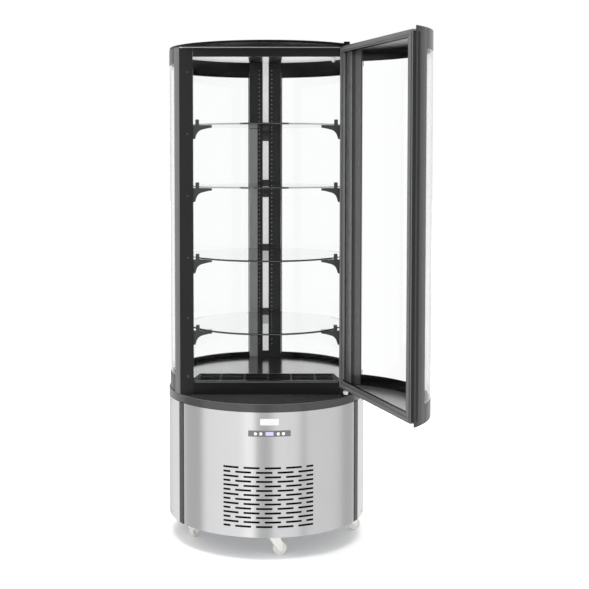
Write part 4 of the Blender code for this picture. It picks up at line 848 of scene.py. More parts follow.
@dataclass
class Assembly:
    """A sub-assembly, which dresses its meshes and hands them to the frame."""

    BODY: ClassVar[str] = "case"
    PLACE: ClassVar[Matrix] = AT_AXIS

    nodes: dict[str, Piece]
    finishes: dict[str, bpy.types.Material]

    def build(self) -> None:
        """Build and dress all its pieces."""
        raise NotImplementedError

    def deliver(
        self,
        thing: Piece,
        node: str,
        finish: str,
        body: str = "",
        place: Matrix | None = None,
        replaces: bool = True,
        flat_faces: bool = True,
    ) -> None:
        """Place a mesh, smooth it, dress it and let it ride.

        Args:
            thing: the finished mesh.
            node: the CAD node whose slot it takes.
            finish: the name of its finish.
            body: the body that it moves with, where it isn't the sub-assembly's.
            place: where its own coordinates lie in the frame, where it isn't the usual place.
            replaces: whether the CAD node is hidden for it.
            flat_faces: whether large faces keep their shade right up to a rounded edge.
        """
        body = body or self.BODY
        moved(thing, self.PLACE if place is None else place)
        bpy.ops.object.shade_smooth_by_angle(angle=SMOOTH_ANGLE)
        if flat_faces:
            level = thing.modifiers.new("level", "WEIGHTED_NORMAL")
            level.keep_sharp = True
            bpy.ops.object.modifier_apply(modifier="level")
        thing.data.materials.clear()
        thing.data.materials.append(self.finishes[finish])
        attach(thing, body)
        if replaces:
            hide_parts(node)
        LOG.info("%s: %d faces, %s", thing.name, len(thing.data.polygons), finish)

    def add(self, thing: Piece, node: str, finish: str, place: Matrix | None = None) -> None:
        """Deliver a piece that lies on a CAD node and hides none."""
        self.deliver(thing, node, finish, place=place, replaces=False)

    def refine(
        self, node: str, name: str, finish: str, width: float = 0.0005, body: str = ""
    ) -> None:
        """Copy a CAD node, merge its triangles, round its edges and let it replace the node.

        Args:
            node: the CAD node.
            name: the new piece's name.
            finish: the name of its finish.
            width: the width of the rounding, or 0 for none.
            body: the body that it moves with, where it isn't the sub-assembly's.
        """
        source = self.nodes[node]
        thing = linked(name, source.data.copy())
        thing.data.name = name
        thing.matrix_world = source.matrix_world
        edit_all(thing)
        bpy.ops.mesh.customdata_custom_splitnormals_clear()
        bpy.ops.mesh.remove_doubles(threshold=COPY_MERGE)
        bpy.ops.mesh.dissolve_limited(angle_limit=FLAT_ANGLE)
        bpy.ops.mesh.normals_make_consistent(inside=False)
        settle()
        if width:
            eased(thing, width)
        self.deliver(thing, node, finish, body, IN_PLACE)


@dataclass
class Screw:
    """A pan head with a cross recess."""

    radius: float = 0.0032
    height: float = 0.0013
    slot: float = 0.0009
    under: float = 0.0002
    recess: tuple[float, float, float] = (0.6, 0.45, 1.5)

    def built(self) -> Piece:
        """Model one head on the XY plane, facing up Z."""
        profile = [
            (0.0, self.height),
            (self.radius * 0.55, self.height * 0.94),
            (self.radius * 0.88, self.height * 0.66),
            (self.radius, self.height * 0.25),
            (self.radius, -self.under),
            (0.0, -self.under),
        ]
        head = turned("screw_head", profile, 20)
        across, bottom, above = self.recess
        reach, half = self.radius * across, self.slot / 2.0
        floor, top = self.height * bottom, self.height * above
        for x, y in ((reach, half), (half, reach)):
            changed(head, block("recess", (-x, -y, floor), (x, y, top)))
        return head

    def spread(self, places: Sequence[Matrix], name: str, sizes: Sequence[float] = ()) -> Piece:
        """Copy the head to each place and join the copies.

        Args:
            places: where the heads go, each facing along its Z.
            name: the joined piece's name.
            sizes: the size of each head, or nothing for one size.

        Returns:
            The joined mesh.
        """
        head = self.built()
        pairs = zip(places, sizes or [1.0] * len(places))
        heads = [copied(head, "head", place @ Matrix.Scale(size, 4)) for place, size in pairs]
        drop(head)
        return merged(heads, name)


@dataclass
class BaseDrum(Assembly):
    """The steel drum with its vents, its two trims and its deck."""

    sheet: float = 0.0012
    through: Point2 = (0.334, 0.346)
    trims: tuple[tuple[str, float], ...] = (
        ("left", math.radians(-57.0)),
        ("right", math.radians(62.7)),
    )
    trim_width: float = 0.027
    trim_proud: float = 0.0015
    trim_step: float = math.radians(0.6)
    trim_ease: float = 0.0006
    stem_width: float = 0.008
    stem_depth: float = 0.008
    stem_heights: Point2 = (0.0983, 0.4697)
    slot_length: float = 0.053
    slot_height: float = 0.0065
    slot_bridge: float = 0.0164
    slot_pitch: float = 0.0148
    slot_top: float = 0.303
    slot_rows: int = 14
    slot_round: float = 0.0012
    field_angle: float = math.radians(25.5)
    field_middle: float = math.radians(1.1)
    well_radius: float = math.hypot(FACE_INNER_X + 0.003, POST_BACK_Y) - 0.002
    well_front: float = DOOR_PLANE_Y + 0.0035
    window_middle: float = math.radians(1.6)
    window_length: float = 0.133
    window_heights: Point2 = (0.416 - 0.0136 / 2.0, 0.416 + 0.0136 / 2.0)
    lip_radii: Point2 = (0.3335, 0.3385)
    lip_depth: float = 0.015
    screw_angles: tuple[float, ...] = (74.0, 105.0, 135.0, 165.0, 195.0, 225.0, 255.0, 286.0)
    screw_heights: Point2 = (0.088, 0.474)

    def build(self) -> None:
        """Build and dress the drum."""
        self._panels()
        self._trims()
        self._deck()
        places = [
            radial_place(math.radians(angle), DRUM_RADIUS, height)
            for angle in self.screw_angles
            for height in self.screw_heights
        ]
        heads = Screw(radius=0.0030, height=0.0010).spread(places, "wrap_screws")
        self.add(heads, "rear_panel", "screw_steel")

    def _slot(self, start: float, end: float) -> Piece:
        """A cutter for one slot of the top row, with rounded corners."""
        half = self.slot_height / 2.0
        heights = (self.slot_top - half, self.slot_top + half)

        def corner(first: Vector, second: Vector) -> bool:
            """Whether an edge is one of the four that run outward at the slot's ends."""
            angle = math.atan2(first.x, -first.y)
            at_end = min(abs(angle - start), abs(angle - end)) < NEAR_ANGLE
            return at_end and abs(first.z - second.z) < MERGE and (first - second).length > 0.01

        slot = hoop("slot", self.through, heights, start, end, BAND_STEP)
        return eased(slot, self.slot_round, 3, corner)

    def _row(self, first: int) -> Piece:
        """The cutters of every second row, from the first or the second row down."""
        length = self.slot_length / DRUM_RADIUS
        bridge = self.slot_bridge / DRUM_RADIUS
        start = -self.field_angle
        spans = []
        while start < self.field_angle:
            spans.append((start, min(start + length, self.field_angle)))
            start += length + bridge
        if first:
            spans = [(-high, -low) for low, high in spans]
        middle = self.field_middle
        row = merged([self._slot(middle + low, middle + high) for low, high in spans], "slot_row")
        moved(row, shift(0.0, 0.0, -first * self.slot_pitch))
        return arrayed(row, self.slot_rows // 2, (0.0, 0.0, -2.0 * self.slot_pitch))

    def _panels(self) -> None:
        """The front panel with its vents and the strip's window, and the wrap behind it."""
        edge = (self.stem_width / 2.0 + PLAY) / DRUM_RADIUS
        radii, heights = (DRUM_RADIUS - self.sheet, DRUM_RADIUS), (DRUM_BOTTOM, DRUM_TOP - PLAY)
        left, right = (angle for _, angle in self.trims)
        front = hoop("front_skin", radii, heights, left + edge, right - edge, PANEL_STEP)
        changed(front, self._row(0))
        changed(front, self._row(1))
        half = self.window_length / 2.0 / DRUM_RADIUS
        low, high = self.window_middle - half, self.window_middle + half
        changed(front, hoop("window", self.through, self.window_heights, low, high))
        self.deliver(front, "front_panel", "drum_steel", flat_faces=False)
        rear = hoop("rear_wrap", radii, heights, right + edge, TURN + left - edge, PANEL_STEP)
        self.deliver(rear, "rear_panel", "drum_steel")

    def _trims(self) -> None:
        """The two black strips over the joints of the panels."""
        half = self.trim_width / 2.0 / DRUM_RADIUS
        stem = self.stem_width / 2.0 / DRUM_RADIUS
        back = DRUM_RADIUS + PLAY
        radii, heights = (back, back + self.trim_proud), (DRUM_BOTTOM, DRUM_TOP - PLAY)
        root = (DRUM_RADIUS - self.stem_depth, back + 0.0005)
        for name, middle in self.trims:
            low, high = middle - half, middle + half
            cover = hoop(f"trim_strip_{name}", radii, heights, low, high, self.trim_step)
            eased(cover, self.trim_ease)
            low, high = middle - stem, middle + stem
            leg = hoop("leg", root, self.stem_heights, low, high, POST_STEP)
            self.deliver(changed(cover, leg, Cut.TOGETHER), f"trim_{name}", "trim_black")

    def _deck(self) -> None:
        """The slab on the drum, with its rim, its lip and the hole for the cold well."""
        slab = eased(rod("deck_slab", DRUM_RADIUS, DRUM_TOP, DECK_TOP, ROUND_SIDES), 0.0022, 3)
        radius = self.well_radius + PLAY
        half = math.acos((PLAY - self.well_front) / radius)
        outline = arc(radius, half, TURN - half)
        changed(slab, prism("hole", outline, DRUM_TOP - 2.0 * BEYOND, DECK_TOP + 2.0 * BEYOND))
        lip = hoop("lip", self.lip_radii, (DRUM_TOP - self.lip_depth, DRUM_TOP + PLAY))
        changed(slab, lip, Cut.TOGETHER)
        self.deliver(slab, "deck", "deck_gloss")
        # A thin pale ring on the deck's top outer edge: a painted highlight of the rounded rim.
        outer, inner = 0.0010, 0.0006
        profile = [
            (DRUM_RADIUS - outer, DECK_TOP),
            (DRUM_RADIUS, DECK_TOP - outer),
            (DRUM_RADIUS - inner, DECK_TOP - outer - inner),
            (DRUM_RADIUS - outer - inner, DECK_TOP - inner),
        ]
        self.add(spun("deck_edging", profile), "deck", "side_grey")


@dataclass
class ControlStrip(Assembly):
    """The strip with its four round buttons and its lit display, and the bare plate over it."""

    middle: float = math.radians(1.6)
    height: float = 0.416
    length: float = 0.138
    width: float = 0.019
    face: float = 0.3421
    housing: tuple[float, float, float] = (0.328, 0.132, 0.013)
    button_radius: float = 0.0055
    button_outer: float = 0.3437
    button_inner: float = 0.3342
    socket_depth: float = 0.009
    clear: float = 0.004
    ring: tuple[Point2, ...] = (
        (0.0060, -0.0004), (0.0075, -0.0004), (0.0073, 0.0003), (0.0062, 0.0003),
    )
    offsets: tuple[float, ...] = (-0.045, -0.028, 0.028, 0.045)
    display: Point2 = (0.025, 0.011)
    display_depth: float = 0.003
    badge: tuple[float, float, float] = (0.061, 0.021, 0.454)
    badge_face: float = 0.3415

    def build(self) -> None:
        """Build and dress the strip, the buttons and the plate."""
        self._bezel()
        self._buttons()
        length, width, height = self.badge
        plate = self._band(
            "bare_plate", (DRUM_RADIUS + PLAY, self.badge_face), length, width, height
        )
        self.deliver(eased(plate, 0.0004), "badge_plate", "badge_white")

    def _band(self, name: str, radii: Point2, length: float, width: float, height: float) -> Piece:
        """A curved block on the drum about the strip's middle."""
        half = length / 2.0 / DRUM_RADIUS
        heights = (height - width / 2.0, height + width / 2.0)
        return hoop(name, radii, heights, self.middle - half, self.middle + half, STRIP_STEP)

    def _bezel(self) -> None:
        """The bezel with its sockets, the housing behind it and the display."""
        radii = (DRUM_RADIUS + PLAY, self.face)
        bezel = eased(
            self._band("control_strip", radii, self.length, self.width, self.height), 0.0007
        )
        back, length, width = self.housing
        housing = self._band("housing", (back, self.face - 0.0009), length, width, self.height)
        changed(bezel, housing, Cut.TOGETHER)
        for offset in self.offsets:
            place = radial_place(self.middle + offset / DRUM_RADIUS, self.face, self.height)
            socket = rod(
                "socket", self.button_radius + PLAY, -self.socket_depth, self.clear, SMALL_SIDES
            )
            changed(bezel, moved(socket, place))
        length, width = self.display
        floor, face = self.face - self.display_depth, self.face
        wide, high = length + 2.0 * PLAY, width + 2.0 * PLAY
        radii = (floor - PLAY, face + self.clear)
        changed(bezel, self._band("recess", radii, wide, high, self.height))
        self.deliver(bezel, "control_bezel", "bezel_grey")
        lens = self._band("display_lens", (floor, face), length, width, self.height)
        self.deliver(eased(lens, 0.0004), "display_window", "display_lit")

    def _buttons(self) -> None:
        """The four caps, each on its own body, and the ring about each."""
        depth, radius = self.button_outer - self.button_inner, self.button_radius
        profile = [
            (0.0, -0.0004),
            (radius * 0.55, -0.00025),
            (radius * 0.82, 0.0),
            (radius * 0.94, -0.0002),
            (radius, -0.0008),
            (radius, -depth),
            (0.0, -depth),
        ]
        for number, offset in enumerate(self.offsets, start=1):
            angle = self.middle + offset / DRUM_RADIUS
            cap = turned(f"push_button_{number}", profile)
            place = AT_AXIS @ radial_place(angle, self.button_outer, self.height)
            name = f"button_{number}"
            self.deliver(cap, name, "button_white", name, place)
            ring = spun(f"button_ring_{number}", self.ring, step=TURN / SMALL_SIDES)
            place = AT_AXIS @ radial_place(angle, self.face, self.height)
            self.add(ring, "control_bezel", "button_ring", place)


@dataclass
class Casters(Assembly):
    """The five swivel casters under the drum."""

    ring_radius: float = 0.285
    trail: float = 0.024
    wheel_radius: float = 0.0225
    wheel_width: float = 0.0175
    bore: float = 0.0033
    fork_half: float = 0.0135
    room: Point2 = (0.0245, 0.00935)
    plate: tuple[float, float, float] = (0.024, 0.0717, 0.0747)
    axle: Point2 = (0.003, 0.01335)
    sides: int = 64
    outline: tuple[Point2, ...] = (
        (-0.012, 0.0732), (0.014, 0.0732), (0.0200, 0.0660), (0.0290, 0.0480),
        (0.0315, 0.0400), (0.0315, 0.0190), (0.0285, 0.0160), (0.0195, 0.0160),
        (0.0165, 0.0180), (-0.004, 0.045), (-0.012, 0.060),
    )
    race: tuple[Point2, ...] = (
        (0.0120, 0.0680), (0.0172, 0.0680), (0.0180, 0.0690),
        (0.0180, 0.0706), (0.0170, 0.0720), (0.0120, 0.0720),
    )
    places: tuple[tuple[str, float, float], ...] = (
        ("front", -86.0, 15.0),
        ("right", -6.0, 20.0),
        ("rear_right", 60.0, 128.0),
        ("rear_left", 132.0, -34.0),
        ("left", 204.0, 48.0),
    )

    def build(self) -> None:
        """Build and dress the five casters."""
        wheel, fork = self._wheel(), self._fork()
        race = spun("race", self.race, step=TURN / self.sides)
        for name, around, trail in self.places:
            x, y, _ = on_drum(self.ring_radius, math.radians(around) + QUARTER_TURN)
            place = AT_AXIS @ shift(x, y) @ Matrix.Rotation(math.radians(trail), 4, "Z")
            body, node = f"caster_{name}", f"caster_fork_{name}"
            tyre = copied(wheel, f"caster_tyre_{name}")
            self.deliver(tyre, f"caster_wheel_{name}", "tread_ivory", f"wheel_{name}", place)
            housing = copied(fork, f"caster_housing_{name}")
            self.deliver(housing, node, "caster_ivory", body, place)
            ring = copied(race, f"caster_race_{name}")
            self.deliver(ring, node, "zinc_sheet", body, place, replaces=False)
        drop(wheel, fork, race)

    def _on_axle(self, thing: Piece) -> Piece:
        """Turn an upright mesh about the wheel's axle."""
        return moved(thing, facing_place(self.trail, 0.0, self.wheel_radius))

    def _wheel(self) -> Piece:
        """A wheel with a hub, a dished web and a rounded tread, on its axle."""
        half = self.wheel_width / 2.0
        side = [
            (self.bore, half),
            (0.0070, half),
            (0.0078, half - 0.0022),
            (0.0150, half - 0.0022),
            (0.0160, half - 0.0004),
            (0.0192, half),
            (0.0212, half - 0.0012),
            (self.wheel_radius, half - 0.0042),
        ]
        profile = side + [(radius, -height) for radius, height in reversed(side)]
        return self._on_axle(spun("wheel", profile, step=TURN / self.sides))

    def _fork(self) -> Piece:
        """The fork with its crown, its two cheeks and its axle."""
        fork = prism("fork", self.outline, -self.fork_half, self.fork_half, Facing.FRONT)
        eased(fork, 0.0013, 3)
        radius, half = self.room
        changed(fork, self._on_axle(rod("room", radius, -half, half, self.sides)))
        changed(fork, eased(rod("plate", *self.plate, self.sides), 0.0006), Cut.TOGETHER)
        radius, half = self.axle
        axle = eased(rod("axle", radius, -half, half), 0.0004)
        return changed(fork, self._on_axle(axle), Cut.TOGETHER)


@dataclass
class CaseFrame(Assembly):
    """The posts, header, sill, bands, ceiling and cap of the glazed case."""

    wall: float = 0.0025
    rebate: float = 0.003
    lip: float = 0.0035
    skin_depth: Point2 = (-0.0001, 0.0004)
    skin_margin: float = 0.0005
    skin_angles: Point2 = (math.radians(0.3), math.radians(-0.1))
    cap_radius: float = 0.334
    cap_top: float = 1.678
    ear: tuple[float, float, float] = (0.0105, CAP_BOTTOM, 1.684)
    pin: tuple[float, float, float] = (0.004, 1.650, 1.677)
    screw_x: float = 0.2625
    screw_rise: float = 0.00018
    screw_heights: tuple[float, ...] = (1.587, 1.383, 1.177, 0.971, 0.768, 0.572)
    screw_sizes: tuple[float, ...] = (1.0, 1.0, 1.0, 1.0, 1.0, 1.5)
    probe_place: Point2 = (0.231, 0.0)
    probe_radius: float = 0.007
    probe_length: float = 0.0235
    # The pale strips of painted highlight on the top edges of the header and the sill.
    edgings: tuple[tuple[str, str, Point3], ...] = (
        ("header", "edge_grey", (0.288, 1.6664, 1.6694)),
        ("sill", "side_grey", (0.2400, 0.5512, 0.5544)),
    )
    edging_proud: float = 0.0002
    duct_low: float = 1.6547
    duct_depth: Point2 = (0.030, 0.2994)
    rail_low: float = 1.6541
    rail_depth: Point2 = (0.031, 0.292)
    rail_half: float = 0.011
    room_depth: Point2 = (0.264, 0.344)
    lower: tuple[Point2, ...] = (
        (0.3355, 0.5630), (0.3355, CASE_BOTTOM), (0.3090, CASE_BOTTOM), (0.3090, 0.5506),
        (0.2680, 0.5506), (0.2680, 0.5546), (0.3125, 0.5546), (0.3125, 0.5735),
        (0.3168, 0.5735), (0.3168, 0.5350), (0.3338, 0.5350), (0.3338, 0.5630),
    )
    upper: tuple[Point2, ...] = (
        (0.3355, CASE_TOP), (0.3355, 1.6200), (0.3338, 1.6200), (0.3338, 1.6500),
        (0.3168, 1.6500), (0.3168, 1.6000), (0.3125, 1.6000), (0.3125, 1.6562),
        (0.3150, 1.6562), (0.3150, CASE_TOP),
    )

    def build(self) -> None:
        """Build and dress the frame."""
        self._posts()
        self._post_skins()
        self._bands()
        self._cap()
        self._screws()
        self._probe()
        self.refine("header", "door_header", "post_grey", 0.0007)
        self.refine("sill", "door_sill", "sill_black", 0.0006)
        # The ceiling's glow is painted light.
        self.refine("ceiling", "ceiling_panel", "ceiling_white", 0.0)
        self._edgings()
        self._duct_cover()

    def _posts(self) -> None:
        """The hollow posts, with a flat face, a curved side and a rebate for the rail."""
        face_x, wall = FACE_INNER_X, self.wall
        inner_x, lip_y = face_x + self.rebate, DOOR_PLANE_Y + self.lip
        outer = [
            (face_x, DOOR_PLANE_Y),
            *arc(DRUM_RADIUS, POST_FRONT_ANGLE, POST_SIDE_ANGLE, POST_STEP),
            on_drum(GROOVE_RADIUS, POST_SIDE_ANGLE)[:2],
            (inner_x, POST_BACK_Y),
            (inner_x, lip_y),
            (face_x, lip_y),
        ]
        thin = wall / DRUM_RADIUS
        start, end = POST_FRONT_ANGLE + 2.0 * thin, POST_SIDE_ANGLE - thin
        hollow = [
            (inner_x + wall, DOOR_PLANE_Y + wall),
            *arc(DRUM_RADIUS - wall, start, end, POST_STEP),
            on_drum(GROOVE_RADIUS + wall, POST_SIDE_ANGLE - 2.0 * thin)[:2],
            (inner_x + wall, POST_BACK_Y - wall),
        ]
        for name, side in (("left", -1.0), ("right", 1.0)):
            sides = [[(side * x, y) for x, y in points] for points in (outer, hollow)]
            post = eased(prism(f"front_post_{name}", sides[0], CASE_BOTTOM, CASE_TOP), 0.0007)
            room = prism("room", sides[1], CASE_BOTTOM - BEYOND, CASE_TOP + BEYOND)
            self.deliver(changed(post, room), f"post_{name}", "post_grey")

    def _post_skins(self) -> None:
        """Paler layers on the curved sides of the posts, a painted reflection of the light that
        grazes those sides.
        """
        radii = tuple(DRUM_RADIUS + depth for depth in self.skin_depth)
        heights = (CASE_BOTTOM + self.skin_margin, CASE_TOP - self.skin_margin)
        start = POST_FRONT_ANGLE + self.skin_angles[0]
        end = POST_SIDE_ANGLE + self.skin_angles[1]
        for name, first, last in (("right", start, end), ("left", -end, -start)):
            side_sheen = hoop(f"post_skin_{name}", radii, heights, first, last, POST_STEP)
            self.add(side_sheen, f"post_{name}", "side_grey")

    def _bands(self) -> None:
        """The lower and the upper channel that the panes stand in."""
        start = POST_SIDE_ANGLE + PLAY / DRUM_RADIUS
        rows = (
            ("lower_band", "bottom_band", self.lower, (CASE_BOTTOM + 0.0017, 0.6)),
            ("upper_band", "top_band", self.upper, (1.59, CEILING_BOTTOM)),
        )
        front, rear = self.room_depth
        near, far = (COLUMN_LEFT - PLAY, front), (COLUMN_RIGHT + PLAY, rear)
        for name, node, profile, (low, high) in rows:
            band = spun(name, profile, start, TURN - start, BAND_STEP)
            room = block("room", (*near, low), (*far, high))
            self.deliver(changed(band, room), node, "band_black")

    def _cap(self) -> None:
        """The cap, with the ear, the boss and the pin of the upper pivot."""
        cap = rod("top_plate", self.cap_radius, CAP_BOTTOM, self.cap_top, ROUND_SIDES)
        eased(cap, 0.0012, 3)
        ear = eased(rod("ear", *self.ear, SMALL_SIDES), 0.0008)
        changed(cap, moved(ear, AT_PIVOT), Cut.TOGETHER)
        pin = eased(rod("pin", *self.pin), 0.0004)
        changed(cap, moved(pin, AT_PIVOT), Cut.TOGETHER)
        self.deliver(cap, "top_cap", "cap_black")

    def _screws(self) -> None:
        """The heads on the faces of the posts, with a larger one at the foot of each."""
        for name, side in (("left", -1.0), ("right", 1.0)):
            x = side * self.screw_x
            places = [facing_place(x, DOOR_PLANE_Y, height) for height in self.screw_heights]
            screw = Screw(height=self.screw_rise)
            heads = screw.spread(places, f"post_screws_{name}", self.screw_sizes)
            self.add(heads, f"post_{name}", "screw_dark")

    def _edgings(self) -> None:
        """Pale strips along the top of the header and the top of the sill, painted highlights of
        their top edges.
        """
        front = DOOR_PLANE_Y - self.edging_proud
        for node, finish, (half, low, high) in self.edgings:
            strip = block(f"{node}_edging", (-half, front, low), (half, DOOR_PLANE_Y, high))
            self.add(strip, node, finish)

    def _duct_cover(self) -> None:
        """The dark cover of the air duct under the ceiling, with the end of the white rail."""
        low, (front, rear) = self.duct_low, self.duct_depth
        near, far = (COLUMN_LEFT, front, low), (COLUMN_RIGHT, rear, CEILING_BOTTOM)
        self.add(eased(block("duct_cover", near, far), 0.0005), "ceiling", "column_black")
        left, right = RAIL_X - self.rail_half, RAIL_X + self.rail_half
        front, rear = self.rail_depth
        rail = block("rail_end", (left, front, self.rail_low), (right, rear, low))
        # The rail end's glow is painted light.
        self.add(rail, "ceiling", "rail_white")

    def _probe(self) -> None:
        """The small white temperature probe that hangs from the ceiling."""
        top, radius = CEILING_BOTTOM, self.probe_radius
        low = top - self.probe_length
        profile = [(0.0, top), (radius, top), (radius, low + radius)]
        for step in range(1, 6):
            angle = QUARTER_TURN * step / 6.0
            profile.append((radius * math.cos(angle), low + radius * (1.0 - math.sin(angle))))
        profile.append((0.0, low))
        probe = turned("ceiling_probe", profile, 40)
        self.add(probe, "ceiling", "white_plastic", AT_AXIS @ shift(*self.probe_place))


@dataclass
class CaseGlass(Assembly):
    """The two curved double panes and the spacers at their upright edges."""

    outer: float = 0.3335
    inner: float = 0.3171
    sheet: float = 0.004
    heights: Point2 = (0.5353, 1.6497)
    spacer: float = 0.010
    rear_spacer: float = 0.002

    def build(self) -> None:
        """Build and dress the panes."""
        start = POST_SIDE_ANGLE + 2.0 * PLAY / DRUM_RADIUS
        right = HALF_TURN - math.asin((COLUMN_RIGHT + 2.0 * PLAY) / self.inner)
        left = HALF_TURN - math.asin((2.0 * PLAY - COLUMN_LEFT) / self.inner)
        outside = (self.outer - self.sheet, self.outer)
        inside = (self.inner, self.inner + self.sheet)
        between = (inside[1] + 0.0001, outside[0] - 0.0001)
        first, last = self.spacer / self.outer, self.rear_spacer / self.outer
        rows = (("right", start, right, first, last), ("left", -left, -start, last, first))
        for name, low, high, near, far in rows:
            sheets = [self._wall("sheet", radii, low, high) for radii in (outside, inside)]
            pane = merged(sheets, f"curved_pane_{name}")
            self.deliver(pane, f"glass_{name}", "case_glass")
            spacers = [
                self._wall("spacer", between, low, low + near),
                self._wall("spacer", between, high - far, high),
            ]
            self.add(merged(spacers, f"pane_spacers_{name}"), f"glass_{name}", "band_black")

    def _wall(self, name: str, radii: Point2, start: float, end: float) -> Piece:
        """A curved wall of the panes' height."""
        return hoop(name, radii, self.heights, start, end, BAND_STEP)


@dataclass
class ShelfRail:
    """A slotted rail and the four brackets that hook into it, at a post or at the column."""

    middle: float
    back: float
    reach: float
    facing: Facing
    low: float
    high: float
    half: float = 0.011
    depth: float = 0.0024
    slot_offset: float = 0.0045
    slot_half: float = 0.00125
    slot_heights: Point2 = (0.011, 0.020)
    slot_before: float = 0.002
    slot_floor: float = 0.0008
    end_room: float = 0.02
    slot_pitch: float = 0.0305
    length: float = 0.062
    tip: float = 0.008
    root: float = 0.046
    tab_ends: Point2 = (0.008, 0.0196)
    tab_height: float = 0.019
    shares: tuple[Point2, ...] = (
        (0.0, 1.0), (0.10, 1.0), (0.14, 0.82), (0.18, 0.66), (0.24, 0.53),
        (0.32, 0.42), (0.45, 0.33), (0.62, 0.27), (0.80, 0.21),
    )

    def put_up(self, owner: Assembly, node: str, names: tuple[str, str], finish: str) -> None:
        """Build the rail and its brackets and deliver both.

        Args:
            owner: the sub-assembly that delivers them.
            node: the CAD node that the rail replaces.
            names: the rail's and the brackets' name.
            finish: the rail's finish.
        """
        owner.deliver(self._rail(names[0]), node, finish)
        brackets = merged([self._bracket(middle) for middle in SHELF_MIDDLES], names[1])
        owner.add(brackets, node, "bracket_black")

    def _bar(self, name: str, ends: Point2, middle: float, half: float, heights: Point2) -> Piece:
        """A block between two planes along the reach, about a middle across it."""
        first, last = sorted(ends)
        low = self.facing.corner(first, heights[0], middle - half)
        return block(name, low, self.facing.corner(last, heights[1], middle + half))

    def _rail(self, name: str) -> Piece:
        """The rail with its pairs of slots."""
        face = self.back + self.reach * self.depth
        ends = (self.back, face)
        rail = self._bar(name, ends, self.middle, self.half, (self.low, self.high))
        eased(rail, 0.0004)
        ends = (face + self.reach * self.slot_before, self.back + self.reach * self.slot_floor)
        low, high = self.slot_heights
        heights = (self.low + low, self.low + high)
        slots = [
            self._bar("slot", ends, self.middle + offset, self.slot_half, heights)
            for offset in (-self.slot_offset, self.slot_offset)
        ]
        count = int((self.high - self.low - self.end_room) / self.slot_pitch)
        step = (0.0, 0.0, self.slot_pitch)
        return changed(rail, arrayed(merged(slots, "slot_pair"), count, step))

    def _bracket(self, shelf: float) -> Piece:
        """A bracket with a concave gusset and a tab behind the edge of a shelf at a height."""
        face = self.back + self.reach * self.depth
        seat = shelf - SHELF_THICKNESS / 2.0 - PLAY
        start, end, tip = (face + self.reach * along for along in (*self.tab_ends, self.length))
        points = [
            (face + self.reach * along * self.length, seat - down * self.root)
            for along, down in self.shares
        ]
        points += [
            (tip, seat - self.tip),
            (tip, seat),
            (end, seat),
            (end, seat + self.tab_height),
            (start, seat + self.tab_height),
            (start, seat),
            (face, seat),
        ]
        low, high = self.middle - self.half, self.middle + self.half
        return eased(prism("bracket", points, low, high, self.facing), 0.0005)


@dataclass
class RearColumn(Assembly):
    """The column at the back, with its lights, its slotted rail and four brackets."""

    wall: float = 0.0025
    bottom: float = 0.5133
    top: float = 1.6559
    inlet_half: float = 0.045
    inlet_depth: Point2 = (0.296, 0.305)
    inlet_heights: Point2 = (0.520, 0.5443)
    rail_back: float = COLUMN_FRONT - 0.0026
    rail_heights: Point2 = (0.580, 1.654)
    lamp_radius: float = 0.0013
    lamp_rise: float = 0.0006
    lamp_front: float = COLUMN_FRONT - 0.0023
    lamp_pitch: float = 0.0157
    lamp_heights: Point2 = (0.600, 1.638)
    lamp_start: float = 0.006
    lamp_rows: tuple[tuple[str, float], ...] = (("left", -0.0273), ("right", 0.0194))
    lining: tuple[float, float, float, float] = (-0.0634, -0.0338, 0.5570, 1.4110)

    def build(self) -> None:
        """Build and dress the column."""
        self._column()
        rail = ShelfRail(RAIL_X, self.rail_back, -1.0, Facing.SIDE, *self.rail_heights)
        # The rear rail's glow is painted light.
        rail.put_up(self, "bracket_rail_rear", ("rear_rail", "rear_brackets"), "rail_white")
        self.refine("light_strip", "lamp_board", "column_black", 0.0)
        self._lamps()

    def _outline(self, inset: float) -> list[Point2]:
        """The column's outline, or that of the duct inside its walls."""
        radius = BAND_RADIUS - inset
        left, right, front = COLUMN_LEFT + inset, COLUMN_RIGHT - inset, COLUMN_FRONT + inset
        start, end = HALF_TURN - math.asin(right / radius), HALF_TURN - math.asin(left / radius)
        return [(left, front), (right, front), *arc(radius, start, end)]

    def _column(self) -> None:
        """The hollow column and the pale lining on its left."""
        column = eased(prism("air_column", self._outline(0.0), self.bottom, self.top), 0.0006)
        low, high = self.bottom - BEYOND, self.top + BEYOND
        changed(column, prism("duct", self._outline(self.wall), low, high))
        middle = (COLUMN_LEFT + COLUMN_RIGHT) / 2.0
        (near, far), (low, high) = self.inlet_depth, self.inlet_heights
        left, right = middle - self.inlet_half, middle + self.inlet_half
        changed(column, block("inlet", (left, near, low), (right, far, high)))
        self.deliver(column, "rear_column", "column_black")
        left, right, low, high = self.lining
        near = COLUMN_FRONT - 0.0009
        lining = block("column_lining", (left, near, low), (right, COLUMN_FRONT, high))
        self.add(eased(lining, 0.0003), "rear_column", "column_grey")

    def _lamps(self) -> None:
        """The two rows of small lamps beside the rail."""
        low, high = self.lamp_heights
        for name, x in self.lamp_rows:
            lamp = eased(rod(f"lamps_{name}", self.lamp_radius, 0.0, self.lamp_rise, 12), 0.0003, 1)
            moved(lamp, facing_place(x, self.lamp_front, low + self.lamp_start))
            arrayed(lamp, int((high - low) / self.lamp_pitch), (0.0, 0.0, self.lamp_pitch))
            self.add(lamp, "light_strip", "lamp_white")


